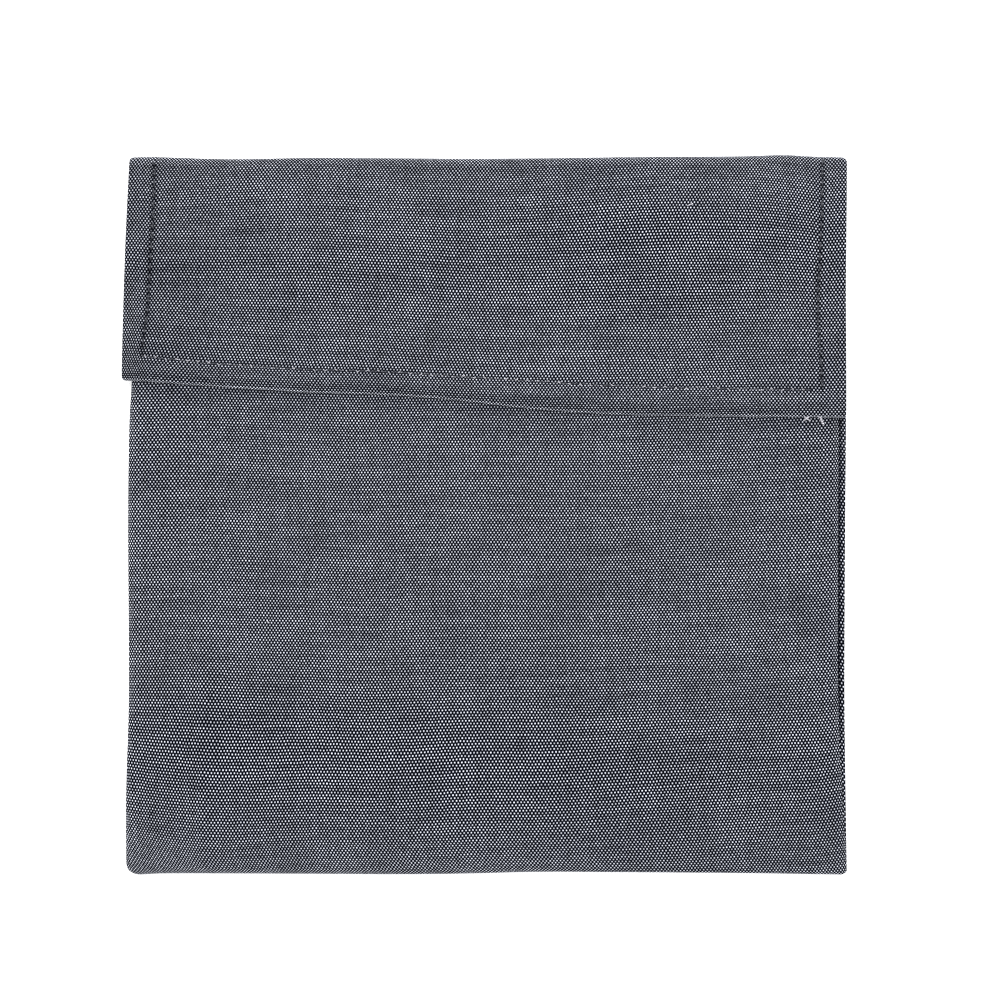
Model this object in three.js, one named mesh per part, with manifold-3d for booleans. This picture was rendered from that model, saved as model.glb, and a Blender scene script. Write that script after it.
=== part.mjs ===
// A cloth sandwich bag, lying on its back with its flap closed.
//
// One strip of cloth makes the whole bag. From the mouth edge it runs down the front, round the bottom fold,
// up the back, round the top fold and down again as the flap, which covers the mouth and hangs free. The
// flap's three free edges and the mouth edge are hemmed. Front and back are sewn together along both sides,
// with the seam allowances turned inside.
//
// Sizes are in millimetres. X runs across the bag, Y from the bottom fold to the top fold, and Z up from the
// surface that the bag lies on. The origin is under the middle of the bag's box.

import * as THREE from "three";
import Module from "manifold-3d";

const { lerp, smoothstep, clamp, degToRad } = THREE.MathUtils;

// The cloth and the space between its layers
const CLOTH = 1; // thickness of one layer
const HEM = 1.6; // thickness where the edge is turned under
const STITCHED_HEM = 0.9; // thickness in the line of stitches, which press the hem together
const EDGE_SHARE = 0.5; // share of the thickness that is left at a rounded edge
const EDGE_ROUNDING = 0.5; // width over which an edge is rounded
const LAYER_GAP = 0.4; // space between layers that lie on each other
const SEAM_GAP = 0.12; // space between front and back beside the seams
const POCKET_SWELL = 0.7; // how much further the front stands off in the middle of the pocket
const FOLD_SINK = 0.8; // how far the flap sinks between the mouth and the top fold

// Hems, seams and edges
const HALF_WIDTH = 90; // half the bag's width, before the edges' unevenness
const MOUTH = 75; // Y of the front's upper edge, hidden under the flap
const HEM_WIDTH = 6; // from an edge to its line of stitches
const STITCH_GROOVE = 0.8; // half the width of the groove along the stitches
const SEAM_ALLOWANCE = 5; // width of the edges turned inside at a side seam
const SEAM_INSET = 0.3; // how far the seam allowance stays inside the front's edge
const SEAM_ROLL = 8; // width over which the front rolls down to a side seam

// Radius of each corner, seen from above
const BOTTOM_CORNERS = { left: 2, right: 1.2 };
const TOP_CORNERS = { left: 1.2, right: 1.2 };
const FLAP_CORNERS = { left: 1, right: 0.6 };

// Lines that cross the bag, by X: both folds, the flap's lower edge and the width of that edge's hem
const ACROSS = [
  { x: -90, topFold: 89.4, bottomFold: -89.3, flapEdge: 33.7, lowerHem: 5.7 },
  { x: -66, topFold: 88.9, bottomFold: -89.5, flapEdge: 32.2, lowerHem: 5.6 },
  { x: -44, topFold: 89.2, bottomFold: -89.6, flapEdge: 30.8, lowerHem: 5.7 },
  { x: -22, topFold: 89.1, bottomFold: -89.8, flapEdge: 30.0, lowerHem: 5.7 },
  { x: -5, topFold: 89.0, bottomFold: -89.7, flapEdge: 28.6, lowerHem: 6.0 },
  { x: 12, topFold: 89.3, bottomFold: -89.1, flapEdge: 26.6, lowerHem: 6.9 },
  { x: 36, topFold: 89.6, bottomFold: -89.1, flapEdge: 25.1, lowerHem: 7.1 },
  { x: 64, topFold: 89.8, bottomFold: -89.3, flapEdge: 24.7, lowerHem: 6.7 },
  { x: 90, topFold: 89.5, bottomFold: -89.5, flapEdge: 24.4, lowerHem: 6.2 },
];

// Side edges, by Y: the pocket's, the flap's, and how far the back shows past the front at the right seam
const ALONG = [
  { y: -90, left: -89.5, right: 90.4, flapLeft: -90.7, flapRight: 90.3, backShows: 0 },
  { y: -70, left: -89.5, right: 90.0, flapLeft: -90.7, flapRight: 90.3, backShows: 0.6 },
  { y: -45, left: -88.8, right: 89.9, flapLeft: -90.7, flapRight: 90.3, backShows: 1.2 },
  { y: 0, left: -89.0, right: 89.9, flapLeft: -90.7, flapRight: 90.3, backShows: 1.4 },
  { y: 28, left: -88.6, right: 90.2, flapLeft: -90.7, flapRight: 90.3, backShows: 1.5 },
  { y: 60, left: -88.5, right: 90.2, flapLeft: -90.0, flapRight: 90.2, backShows: 1.4 },
  { y: 90, left: -88.7, right: 90.5, flapLeft: -88.7, flapRight: 90.5, backShows: 1.4 },
];

// Thickness of a hemmed edge, by the distance in from the edge
const HEM_PROFILE = [
  { distance: 0, thickness: HEM },
  { distance: HEM_WIDTH - STITCH_GROOVE, thickness: HEM },
  { distance: HEM_WIDTH, thickness: STITCHED_HEM },
  { distance: HEM_WIDTH + STITCH_GROOVE, thickness: CLOTH },
];

// Grid of the cloth: steps in from an edge, which follow the hem's profile, and counts of even steps between
const EDGE_STEPS = [
  0,
  EDGE_ROUNDING,
  HEM_WIDTH / 2,
  HEM_WIDTH - STITCH_GROOVE,
  HEM_WIDTH,
  HEM_WIDTH + STITCH_GROOVE,
  2 * HEM_WIDTH,
];
const MIDDLE_COLUMNS = 11;
const FRONT_ROWS = 9;
const BACK_ROWS = 10;
const FLAP_ROWS = 4;
const FOLD_ROWS = 7;
const SEAM_ROWS = 14;

// Direction, in degrees, in which the cloth's outer face looks: 90 is up, 180 towards the bottom fold
const LOOKS_UP = 90;
const LOOKS_DOWN = 270;
const HALF_TURN = 180;

// A function that reads all the columns of a table at a place between its rows
function tableReader(rows, key, Interpolant) {
  const names = Object.keys(rows[0]).filter((name) => name !== key);
  const places = rows.map((row) => row[key]);
  const values = rows.flatMap((row) => names.map((name) => row[name]));
  const interpolant = new Interpolant(places, values, names.length);
  return (place) => {
    const read = interpolant.evaluate(place);
    return Object.fromEntries(names.map((name, i) => [name, read[i]]));
  };
}

const across = tableReader(ACROSS, "x", THREE.CubicInterpolant);
const along = tableReader(ALONG, "y", THREE.CubicInterpolant);
const hemProfile = tableReader(HEM_PROFILE, "distance", THREE.LinearInterpolant);

// Places along a run: given steps in from its start and its end, and even steps between
function placesAlong(startSteps, middleCount, endSteps) {
  const first = startSteps.at(-1);
  const last = endSteps.at(-1);
  const middle = Array.from({ length: middleCount }, (_, i) => (i + 1) / (middleCount + 1));
  return [
    ...startSteps.map((step) => ({ share: 0, offset: step })),
    ...middle.map((share) => ({ share, offset: lerp(first, -last, share) })),
    ...endSteps.toReversed().map((step) => ({ share: 1, offset: -step })),
  ];
}

// Where a place lies on a run from start to end, with the fixed steps stretched as asked
function placeBetween(place, start, end, stretch = 1) {
  return lerp(start, end, place.share) + place.offset * stretch * Math.sign(end - start);
}

// How far a rounded corner draws the side edge in, by the distance from the line that ends the edge
function cornerInset(distance, radius) {
  const short = radius - clamp(distance, 0, radius);
  return radius - Math.sqrt(radius ** 2 - short ** 2);
}

function withCorners(edges, distance, corners) {
  return {
    left: edges.left + cornerInset(distance, corners.left),
    right: edges.right - cornerInset(distance, corners.right),
  };
}

function frontEdges(y) {
  const { left, right, backShows } = along(y);
  return { left, right: right - backShows };
}

function flapEdges(y) {
  const { flapLeft, flapRight } = along(y);
  return { left: flapLeft, right: flapRight };
}

function distanceInside(x, edges) {
  return Math.min(x - edges.left, edges.right - x);
}

// Share of the full thickness near a rounded edge
function roundedShare(distance) {
  return lerp(EDGE_SHARE, 1, clamp(distance / EDGE_ROUNDING, 0, 1));
}

// Rises from 0 at both ends to 1, with a broad flat middle
function broadSwell(share) {
  return 1 - (2 * clamp(share, 0, 1) - 1) ** 4;
}

// Height of the front's lower face
function frontBase(x, y) {
  const edges = frontEdges(y);
  const { bottomFold } = across(x);
  const roll = smoothstep(distanceInside(x, edges), 0, SEAM_ROLL);
  const acrossSwell = broadSwell((x - edges.left) / (edges.right - edges.left));
  const alongSwell = broadSwell((y - bottomFold) / (MOUTH - bottomFold));
  return CLOTH + lerp(SEAM_GAP, LAYER_GAP, roll) + POCKET_SWELL * acrossSwell * alongSwell;
}

// Height of the flap's lower face, which lies on the front, rises on to the mouth's hem and sinks past it
function flapBase(x, y) {
  const rise = (HEM - CLOTH) * smoothstep(y, MOUTH - 3 * HEM_WIDTH, MOUTH - HEM_WIDTH);
  const sink = FOLD_SINK * smoothstep(y, MOUTH, across(x).topFold);
  return frontBase(x, Math.min(y, MOUTH)) + CLOTH + LAYER_GAP + rise - sink;
}

// A fold's outermost line, its radius and centre at the middle of the cloth, and the cloth's thickness
function bottomFoldAt(x) {
  const line = across(x).bottomFold;
  const radius = frontBase(x, line) / 2;
  return { line, radius, y: line + radius + CLOTH / 2, z: CLOTH / 2 + radius, thickness: CLOTH };
}

function topFoldAt(x) {
  const line = across(x).topFold;
  const { thickness } = hemProfile(Math.max(0, distanceInside(x, flapEdges(line))));
  const radius = flapBase(x, line) / 2;
  return { line, radius, y: line - radius - thickness / 2, z: thickness / 2 + radius, thickness };
}

// Points of the cloth's middle, from one column's start to its end, each with its thickness and outlook
function frontRun(column, rows) {
  const fold = bottomFoldAt(placeBetween(column, -HALF_WIDTH, HALF_WIDTH));
  return rows.map((row) => {
    const y = placeBetween(row, MOUTH, fold.y);
    const edges = withCorners(frontEdges(y), y - fold.line, BOTTOM_CORNERS);
    const x = placeBetween(column, edges.left, edges.right);
    const { thickness } = hemProfile(MOUTH - y);
    const z = frontBase(x, y) + thickness / 2;
    const edgeDistance = Math.min(MOUTH - y, distanceInside(x, edges));
    return { x, y, z, looks: LOOKS_UP, thickness: thickness * roundedShare(edgeDistance) };
  });
}

function backRun(column, rows) {
  const nominalX = placeBetween(column, -HALF_WIDTH, HALF_WIDTH);
  const bottom = bottomFoldAt(nominalX);
  const top = topFoldAt(nominalX);
  return rows.map((row) => {
    const y = placeBetween(row, bottom.y, top.y);
    const lower = withCorners(along(y), y - bottom.line, BOTTOM_CORNERS);
    const edges = withCorners(lower, top.line - y, TOP_CORNERS);
    const x = placeBetween(column, edges.left, edges.right);
    const inside = distanceInside(x, edges);
    const hemShare = smoothstep(y, MOUTH - HEM_WIDTH, MOUTH + HEM_WIDTH);
    const thickness = lerp(CLOTH, hemProfile(inside).thickness, hemShare);
    return { x, y, z: thickness / 2, looks: LOOKS_DOWN, thickness: thickness * roundedShare(inside) };
  });
}

function flapRun(column, rows) {
  const nominalX = placeBetween(column, -HALF_WIDTH, HALF_WIDTH);
  const { flapEdge, lowerHem } = across(nominalX);
  const fold = topFoldAt(nominalX);
  const hemStretch = lowerHem / HEM_WIDTH;
  return rows.map((row) => {
    const y = placeBetween(row, fold.y, flapEdge, hemStretch);
    const upper = withCorners(flapEdges(y), fold.line - y, TOP_CORNERS);
    const edges = withCorners(upper, y - flapEdge, FLAP_CORNERS);
    const x = placeBetween(column, edges.left, edges.right);
    const inside = Math.min(distanceInside(x, edges), (y - flapEdge) / hemStretch);
    const { thickness } = hemProfile(inside);
    const z = flapBase(x, y) + thickness / 2;
    return { x, y, z, looks: LOOKS_UP, thickness: thickness * roundedShare(inside) };
  });
}

// Points round a half turn of the cloth, without its two ends
function foldRun(column, fold, startLooks, edgesAt, corners) {
  return Array.from({ length: FOLD_ROWS }, (_, i) => {
    const looks = startLooks + (HALF_TURN * (i + 1)) / (FOLD_ROWS + 1);
    const outward = Math.cos(degToRad(looks));
    const upward = Math.sin(degToRad(looks));
    const y = fold.y + fold.radius * outward;
    const outerY = y + (fold.thickness / 2) * outward;
    const edges = withCorners(edgesAt(y), Math.abs(fold.line - outerY), corners);
    const x = placeBetween(column, edges.left, edges.right);
    const thickness = fold.thickness * roundedShare(distanceInside(x, edges));
    return { x, y, z: fold.z + fold.radius * upward, looks, thickness };
  });
}

// The whole strip at one column, from the mouth edge to the flap's lower edge
function stripColumn(column) {
  const nominalX = placeBetween(column, -HALF_WIDTH, HALF_WIDTH);
  return [
    ...frontRun(column, placesAlong(EDGE_STEPS, FRONT_ROWS, [0])),
    ...foldRun(column, bottomFoldAt(nominalX), LOOKS_UP, frontEdges, BOTTOM_CORNERS),
    ...backRun(column, placesAlong([0], BACK_ROWS, [0])),
    ...foldRun(column, topFoldAt(nominalX), LOOKS_DOWN, flapEdges, TOP_CORNERS),
    ...flapRun(column, placesAlong([0], FLAP_ROWS, EDGE_STEPS)),
  ];
}

// Both edges of a side seam's allowance, which fills the space between the middles of front and back
function seamColumn(side, inset) {
  return Array.from({ length: SEAM_ROWS + 1 }, (_, i) => {
    const nominalX = side * HALF_WIDTH;
    const { bottomFold } = across(nominalX);
    const y = lerp(MOUTH - EDGE_ROUNDING, bottomFold + CLOTH / 2, i / SEAM_ROWS);
    const edges = withCorners(frontEdges(y), y - bottomFold, BOTTOM_CORNERS);
    const x = side < 0 ? edges.left + inset : edges.right - inset;
    const thickness = frontBase(x, y);
    return { x, y, z: (CLOTH + thickness) / 2, looks: LOOKS_UP, thickness };
  });
}

function seamColumns(side) {
  const insets = [SEAM_INSET, SEAM_INSET + SEAM_ALLOWANCE];
  const ordered = side < 0 ? insets : insets.toReversed();
  return ordered.map((inset) => seamColumn(side, inset));
}

// Corners of a grid's border, in order round the sheet's outer face
function borderOf(columnCount, rowCount) {
  const at = (column, row) => column * rowCount + row;
  const border = [];
  for (let row = 0; row < rowCount - 1; row++) border.push(at(0, row));
  for (let column = 0; column < columnCount - 1; column++) border.push(at(column, rowCount - 1));
  for (let row = rowCount - 1; row > 0; row--) border.push(at(columnCount - 1, row));
  for (let column = columnCount - 1; column > 0; column--) border.push(at(column, 0));
  return border;
}

// A closed sheet from columns of points: an outer face, an inner face and the edge between them
function sheetGeometry(columns) {
  const columnCount = columns.length;
  const rowCount = columns[0].length;
  const points = columns.flat();
  const face = (side) =>
    points.flatMap(({ x, y, z, looks, thickness }) => {
      const reach = (side * thickness) / 2;
      return [x, y + reach * Math.cos(degToRad(looks)), z + reach * Math.sin(degToRad(looks))];
    });
  const triangles = [];
  const inner = points.length;
  for (let column = 0; column < columnCount - 1; column++) {
    for (let row = 0; row < rowCount - 1; row++) {
      const a = column * rowCount + row;
      const b = a + 1;
      const d = a + rowCount;
      const c = d + 1;
      triangles.push(a, b, c, a, c, d);
      triangles.push(inner + a, inner + c, inner + b, inner + a, inner + d, inner + c);
    }
  }
  const border = borderOf(columnCount, rowCount);
  border.forEach((from, i) => {
    const to = border[(i + 1) % border.length];
    triangles.push(to, from, inner + from, to, inner + from, inner + to);
  });
  return new THREE.BufferGeometry()
    .setAttribute("position", new THREE.Float32BufferAttribute([...face(1), ...face(-1)], 3))
    .setIndex(triangles);
}

const wasm = await Module();
wasm.setup();

function solidOf(geometry) {
  const vertProperties = geometry.getAttribute("position").array;
  const triVerts = new Uint32Array(geometry.index.array);
  return new wasm.Manifold(new wasm.Mesh({ numProp: 3, vertProperties, triVerts }));
}

function geometryOf(solid) {
  const { vertProperties, triVerts } = solid.getMesh();
  return new THREE.BufferGeometry()
    .setAttribute("position", new THREE.BufferAttribute(vertProperties, 3))
    .setIndex(new THREE.BufferAttribute(triVerts, 1));
}

// The strip, closed into a pocket by its two side seams, with the origin under the middle of its box
function bagGeometry() {
  const columns = placesAlong(EDGE_STEPS, MIDDLE_COLUMNS, EDGE_STEPS);
  const strip = solidOf(sheetGeometry(columns.map(stripColumn)));
  const leftSeam = solidOf(sheetGeometry(seamColumns(-1)));
  const rightSeam = solidOf(sheetGeometry(seamColumns(1)));
  const geometry = geometryOf(strip.add(leftSeam).add(rightSeam));
  geometry.computeBoundingBox();
  const middle = geometry.boundingBox.getCenter(new THREE.Vector3());
  geometry.translate(-middle.x, -middle.y, -geometry.boundingBox.min.z);
  geometry.computeVertexNormals();
  return geometry;
}

const chambray = new THREE.MeshStandardMaterial({ color: 0x5a5c65, roughness: 0.95, metalness: 0 });

const bag = new THREE.Mesh(bagGeometry(), chambray);
bag.name = "bag";

const sandwichBag = new THREE.Group();
sandwichBag.add(bag);

export default sandwichBag;
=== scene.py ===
import math

import bpy
import numpy as np
from bpy.props import FloatProperty, FloatVectorProperty, PointerProperty
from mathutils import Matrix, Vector


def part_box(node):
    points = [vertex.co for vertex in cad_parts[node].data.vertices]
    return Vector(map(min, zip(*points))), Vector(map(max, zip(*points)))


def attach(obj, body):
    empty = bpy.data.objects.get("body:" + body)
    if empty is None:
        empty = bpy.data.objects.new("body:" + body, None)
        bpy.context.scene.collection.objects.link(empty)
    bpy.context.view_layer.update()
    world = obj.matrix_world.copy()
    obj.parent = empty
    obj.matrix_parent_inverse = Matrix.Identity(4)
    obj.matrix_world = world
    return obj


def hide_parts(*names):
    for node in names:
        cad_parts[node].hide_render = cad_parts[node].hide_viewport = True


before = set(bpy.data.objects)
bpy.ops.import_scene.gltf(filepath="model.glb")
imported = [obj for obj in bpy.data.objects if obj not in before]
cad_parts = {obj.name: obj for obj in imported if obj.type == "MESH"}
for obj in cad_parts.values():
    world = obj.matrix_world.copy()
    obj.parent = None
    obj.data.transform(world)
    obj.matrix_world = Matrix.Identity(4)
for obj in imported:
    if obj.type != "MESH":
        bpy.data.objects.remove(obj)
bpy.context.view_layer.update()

bl_info = {
    "name": "Cloth Sandwich Bag",
    "version": (1, 0, 0),
    "blender": (4, 5, 0),
    "location": "View3D > Sidebar > Sandwich Bag",
    "description": "Makes a flat woven sandwich bag with a hemmed flap, its stitching and a plain stage",
    "category": "Add Mesh",
}

MM = 0.001

# Lengths in the tables are in millimetres and angles in degrees, unless a heading says otherwise.
# Lines that cross the bag, by X: both folds, the flap's lower edge and the width of that edge's hem
ACROSS = {
    "x": (-90, -84, -66, -44, -22, -5, 12, 36, 64, 75, 84, 90),
    "top_fold": (89.5, 89.6, 89.1, 89.4, 89.3, 89.2, 89.3, 89.6, 89.8, 90.1, 89.65, 89.55),
    "bottom_fold": (-89.8, -89.5, -89.5, -89.6, -89.7, -89.5, -89.1, -89.2, -89.4, -89.55, -89.7, -89.8),
    "flap_edge": (33.7, 33.5, 32.2, 30.8, 30.0, 28.6, 26.6, 25.1, 24.7, 24.6, 24.5, 24.4),
    "lower_hem": (6.6, 6.3, 5.7, 5.7, 5.7, 6.0, 6.9, 7.1, 6.9, 6.8, 6.7, 6.6),
}

# Side edges, by Y: the pocket's, the flap's, and how far the back shows past the front at the right seam
ALONG = {
    "y": (-90, -70, -45, 0, 22, 28, 34, 60, 90),
    "left": (-89.6, -89.65, -88.95, -89.15, -88.85, -88.6, -88.2, -88.5, -88.7),
    "right": (90.6, 90.3, 90.0, 90.2, 90.4, 90.4, 90.35, 90.2, 90.5),
    "flap_left": (-90.7, -90.7, -90.7, -90.7, -90.7, -90.7, -90.7, -90.0, -88.7),
    "flap_right": (90.3, 90.3, 90.3, 90.3, 90.3, 90.3, 90.3, 90.2, 90.5),
    "back_shows": (0, 0.9, 1.6, 1.8, 1.9, 1.9, 1.85, 1.6, 1.4),
}

# Widths of the flap's side hems, by Y
SIDE_HEMS = {
    "y": (24, 38, 42, 46, 50, 56, 64, 75, 90),
    "left": (4.9, 4.9, 5.0, 5.4, 6.0, 6.3, 6.4, 6.6, 6.3),
    "right": (5.9, 6.3, 6.6, 6.85, 7.05, 7.0, 6.55, 6.25, 6.1),
}

# A hem's section. Heights are in thicknesses of the cloth, the groove's and the puff's other lengths in half
# widths of the groove, and the crown's in widths of the hem. The press swings between holes and stitches
HEM_GROOVE = {"past": 0.5, "width": 0.6, "press": 0.8, "swing": 0.35}
HEM_PUFF = {"height": 0.12, "place": 1.6}
HEM_CROWN = {"height": 0.1, "place": 0.5, "width": 0.35}

# How far below the mouth the flap starts to rise on its hem, in hem widths, and the share of the layers' gap
# by which the flap sinks at its edge
HEM_RISE = 3.0
EDGE_SINK = 0.95

# How the front's weave runs, by Y: the space between picks and how far the warp leans, at either side
FRONT_WEAVE = {
    "y": (-90, -85, -82, -79, -75, -68, -61, -54, -46, -39, -14, 26, 75),
    "left_pick": (0.385, 0.525, 0.595, 0.65, 0.685, 0.73, 0.75, 0.725, 0.67, 0.625, 0.613, 0.615, 0.613),
    "right_pick": (0.56, 0.645, 0.675, 0.68, 0.685, 0.73, 0.75, 0.725, 0.67, 0.625, 0.613, 0.615, 0.613),
    "left_lean": (-18, -9.5, -4.5, -0.8, 1, 2.6, 3.4, 3.4, 2, 0.8, 1.5, 2.2, 2),
    "right_lean": (-4.5, -5.5, -6, -5.3, -5, -5, -4.5, -3.6, -3, -2.7, -0.9, -0.6, 0),
}

# Where the left side gives way to the right side: picks by X, leans by the share of the front's width
PICK_CHANGE = (5, 50)
LEAN_CHANGE = (0.22, 0.86)

# The space between the front's ends, by X, below the flap
FRONT_ENDS = {
    "x": (-90, -82, -77, -71, -61, -36, 0, 40, 64, 74, 80, 86, 90),
    "end": (0.42, 0.444, 0.46, 0.43, 0.403, 0.397, 0.4, 0.405, 0.41, 0.427, 0.436, 0.425, 0.41),
}

# Beside the front's side edges the ends draw together on the way down: between two places across and below a
# level, by a lean that grows from one place to the other
FRONT_FANS = (
    {"start": -71, "end": -88, "below": 25, "lean": -2.0},
    {"start": 70, "end": 88, "below": 0, "lean": 0.75},
)

# The space between the flap's picks, by the distance down from the top fold
FLAP_PICKS = {
    "down": (0, 3, 6, 10, 16, 22, 28, 33, 38, 43, 50, 66),
    "pick": (0.46, 0.52, 0.565, 0.62, 0.655, 0.68, 0.68, 0.67, 0.645, 0.625, 0.62, 0.615),
}

# The space between the flap's ends, by X, at the top fold, halfway down and at the lower stitches
FLAP_ENDS = {
    "x": (-90, -87, -84, -78, -71, -61, -46, -21, 4, 29, 54, 74, 80, 86, 90),
    "high": (
        0.39, 0.392, 0.392, 0.388, 0.4, 0.411, 0.419, 0.41, 0.405, 0.422, 0.401, 0.376, 0.388, 0.4, 0.405,
    ),
    "half": (
        0.4, 0.4, 0.4, 0.41, 0.407, 0.408, 0.411, 0.407, 0.405, 0.417, 0.406, 0.398, 0.408, 0.416, 0.416,
    ),
    "low": (
        0.3, 0.308, 0.385, 0.43, 0.414, 0.406, 0.404, 0.404, 0.406, 0.412, 0.411, 0.42, 0.427, 0.428, 0.43,
    ),
}

# Where each row gives way to the next, by the share of the way from the top fold to the lower stitches
TO_HALF = (0.0, 0.5)
TO_LOW = (0.45, 1.1)

# How far the flap's warp leans at either side, by that share
FLAP_LEAN = {
    "share": (0, 0.12, 0.25, 0.45, 0.65, 0.78, 0.88, 0.94, 0.99, 1.04, 1.14),
    "left": (10, 5.8, 3.2, 2.3, 3.6, 4.6, 8, 12, 13, -1, -1),
    "right": (-1, 1.5, 3.8, 4.8, 4, 1, 7.5, 4.5, -1, -1, -1),
}

# The warp's lean below the lower stitches in the flap's left corner, which grows between two places across
FLAP_CORNER = {"start": -71, "end": -86, "lean": 10}

# Slope of the weft, by X, at three levels of the front and of the flap
WEFT_SLOPES = {
    "x": (-90, -87, -84, -80, -71, -61, -48, -36, -24, -10, 5, 26, 39, 51, 64, 74, 81, 86, 90),
    "front_high": (1, 1.2, 1.7, 2, -1, -1.9, -1, -1.4, 1.3, 0.5, -0.3, 0.2, 2, 1.2, 2.5, 3.5, 4, 6, 7),
    "front_low": (-8, -8, -7.5, -6, -3, 0.3, 2, -1.2, 1.3, 3.8, 0, 3.7, 3.8, 3.3, 3.3, 2.3, 3, 9.5, 10),
    "front_bottom": (-9, -9, -9, -8, -4, 2, 1.6, 0, 0.8, 2.5, 1.2, 3.7, 3.3, 3.3, 3, 2.4, 2.5, 7.5, 9),
    "flap_high": (9, 5.5, 1, 0.3, 2, 2.6, 0.3, -2, -1.4, -1, 1.4, 3.8, 3, -0.2, -1, -6, -6, 0.5, 2),
    "flap_middle": (-1, -2, 0.5, -2, -1, 0.6, 0.2, -2.6, -2, -3, 0.6, 1.6, 1.6, 0.7, -1.2, -2, -1.5, 0.5, 1),
    "flap_low": (2, 0.5, -5, -4.6, -2.4, -2, -2, -1.2, -2.6, -1.9, -1.1, 0.8, 0.4, 1.2, 1.6, 0.5, 1, 0.5, 0),
}

# Where those levels lie: by Y on the front, by the distance down from the top fold on the flap
FRONT_LEVELS = {"front_bottom": -84, "front_low": -68, "front_high": -36}
FLAP_LEVELS = {"flap_high": 10, "flap_middle": 27, "flap_low": 43}

# The front's lower left corner, where the cloth is pulled askew below a line: a point of the line, its fall
# for each step to the right, the softness of its bend, and how much closer picks and ends lie for each step
# below it
PULLED_CORNER = {"x": -87, "y": -77.5, "fall": 0.54, "soft": 1.0, "picks": 0.16, "ends": 0.08}

# Broad, shallow waves of the front and the flap: lengths across and along, height, and phase in radians
WAVES = (
    {"across": 61, "along": 140, "height": 0.05, "phase": 0.4},
    {"across": -83, "along": 47, "height": 0.06, "phase": 2.1},
    {"across": 37, "along": -58, "height": 0.03, "phase": 4.0},
    {"across": -29, "along": -88, "height": 0.025, "phase": 5.2},
)

# Bands of painted light and shade: the share of brightness gained, below 0 for painted shade and above 0 for
# a painted highlight, full up to one distance and gone past another
SHADES = {
    # The hems, the flap's left side and its top fold get painted shade, the flap's lower edge and the front's
    # left edge a painted highlight, and the front below the flap's edge a painted shadow
    "left_hem": {"gain": -0.04, "full": -1.5, "gone": 1.0},
    "left_side": {"gain": -0.1, "full": -80, "gone": -68},
    "top_fold": {"gain": -0.14, "full": 2.0, "gone": 8.0},
    "lower_hem": {"gain": -0.08, "full": -0.5, "gone": 0.5},
    "flap_edge": {"gain": 1.0, "full": 0.3, "gone": 0.6},
    "under_flap_shadow": {"gain": -1.0, "full": 0.5, "gone": 6.0},
    "left_edge": {"gain": 0.12, "full": 2.0, "gone": 4.0},
}

# The flap's brightness as a whole, the heights over which its left hem's painted shade fades out, and the
# shares of the painted shadow under the flap at the left and at the right, with the places across between
# which one gives way to the other
FLAP_LIGHT = 0.965
LEFT_HEM_FADE = (35, 75)
UNDER_FLAP_SHADOW_SHARES = (0.28, 0.2)
UNDER_FLAP_SHADOW_CHANGE = (-60, 30)

# Painted light of the folds: brightness of their upper face, where the top fold's lower level is painted
# shade, of their rim beside that, a painted highlight, and the upward looks between the two
FOLD_LIGHT = {"bottom": 1.0, "top": 0.86}
RIM_LIGHT = 1.5
RIM_LOOKS = (0.2, 0.9)

# The painted shadow in the gap beside the back's strip at the right seam: the brightness lost in it, the
# shares of the strip's width over which it ends, the least width taken for that strip, and the heights over
# which the gap opens
SEAM_SHADOW = {"loss": 0.94, "ends": (0.15, 0.45), "least_width": 0.5, "opens": (-64, -52)}

# Broad soft patches where the cloth is darker: place, reach across and along, and the brightness lost there
PATCHES = {
    "flap": ({"x": -71, "y": 58, "across": 7, "along": 22, "loss": 0.14},),
    "front": (
        {"x": 34, "y": -80, "across": 12, "along": 12, "loss": 0.13},
        {"x": 84, "y": -84, "across": 9, "along": 12, "loss": 0.17},
    ),
}

# How strongly painted shade darkens each line's groove and needle holes, from 0 to 1, the heights between the
# left line's low and high part, and how far past a corner a line still counts, in stitches
LINE_SHADE = {"left_low": 0.55, "left_high": 0.85, "right": 0.6, "lower": 0.15}
LEFT_LINE_CHANGE = (40, 60)
PAST_CORNER = 0.3

# A stitch: half its length as a share of the way between holes, how that varies, its height in thread widths
# on the flap's sides and round the fold, how deep its ends dive, how much they taper, and how far it strays
# aside and slants. Then the upward looks between the two heights, and how far past the fold a line goes on
STITCH = {
    "half": 0.36, "varies": (0.92, 1.06), "proud": 0.3, "sunk": -0.5,
    "dives": 0.8, "tapers": 0.3, "aside": 0.04, "slant": 0.05,
}
STITCH_LOOKS = (0.2, 0.95)
PAST_FOLD = 20

# White yarn pulled up at a needle hole: its turn in radians, how its length, its distance from the line and
# its thickness vary, how high it rises, how deep its ends dive and how much they taper
FLECK = {
    "turn": 0.35, "length": (0.6, 1.25), "aside": (0.1, 0.3), "thickness": (0.7, 1.1),
    "rise": 0.14, "dives": 0.22, "tapers": 0.5,
}

# Loose ends of white yarn at the flap's lower edge: places across, distances down from the edge, and width.
# Then how much they taper, and the distances down between which they come from the flap to the front
YARN_ENDS = (
    {"across": (79.6, 80.3, 80.9), "down": (0.9, 0.35, -0.1), "width": 0.46},
    {"across": (79.8, 80.4, 81.4), "down": (-0.1, 0.35, 0.85), "width": 0.4},
    {"across": (83.8, 84.2, 84.75), "down": (0.0, 0.9, 1.9), "width": 0.56},
    {"across": (83.3, 83.6, 84.0), "down": (0.0, -0.1, 0.1), "width": 0.3},
)
YARN_END_TAPER = 0.35
YARN_END_LANDS = (-0.2, 1.3)

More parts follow.
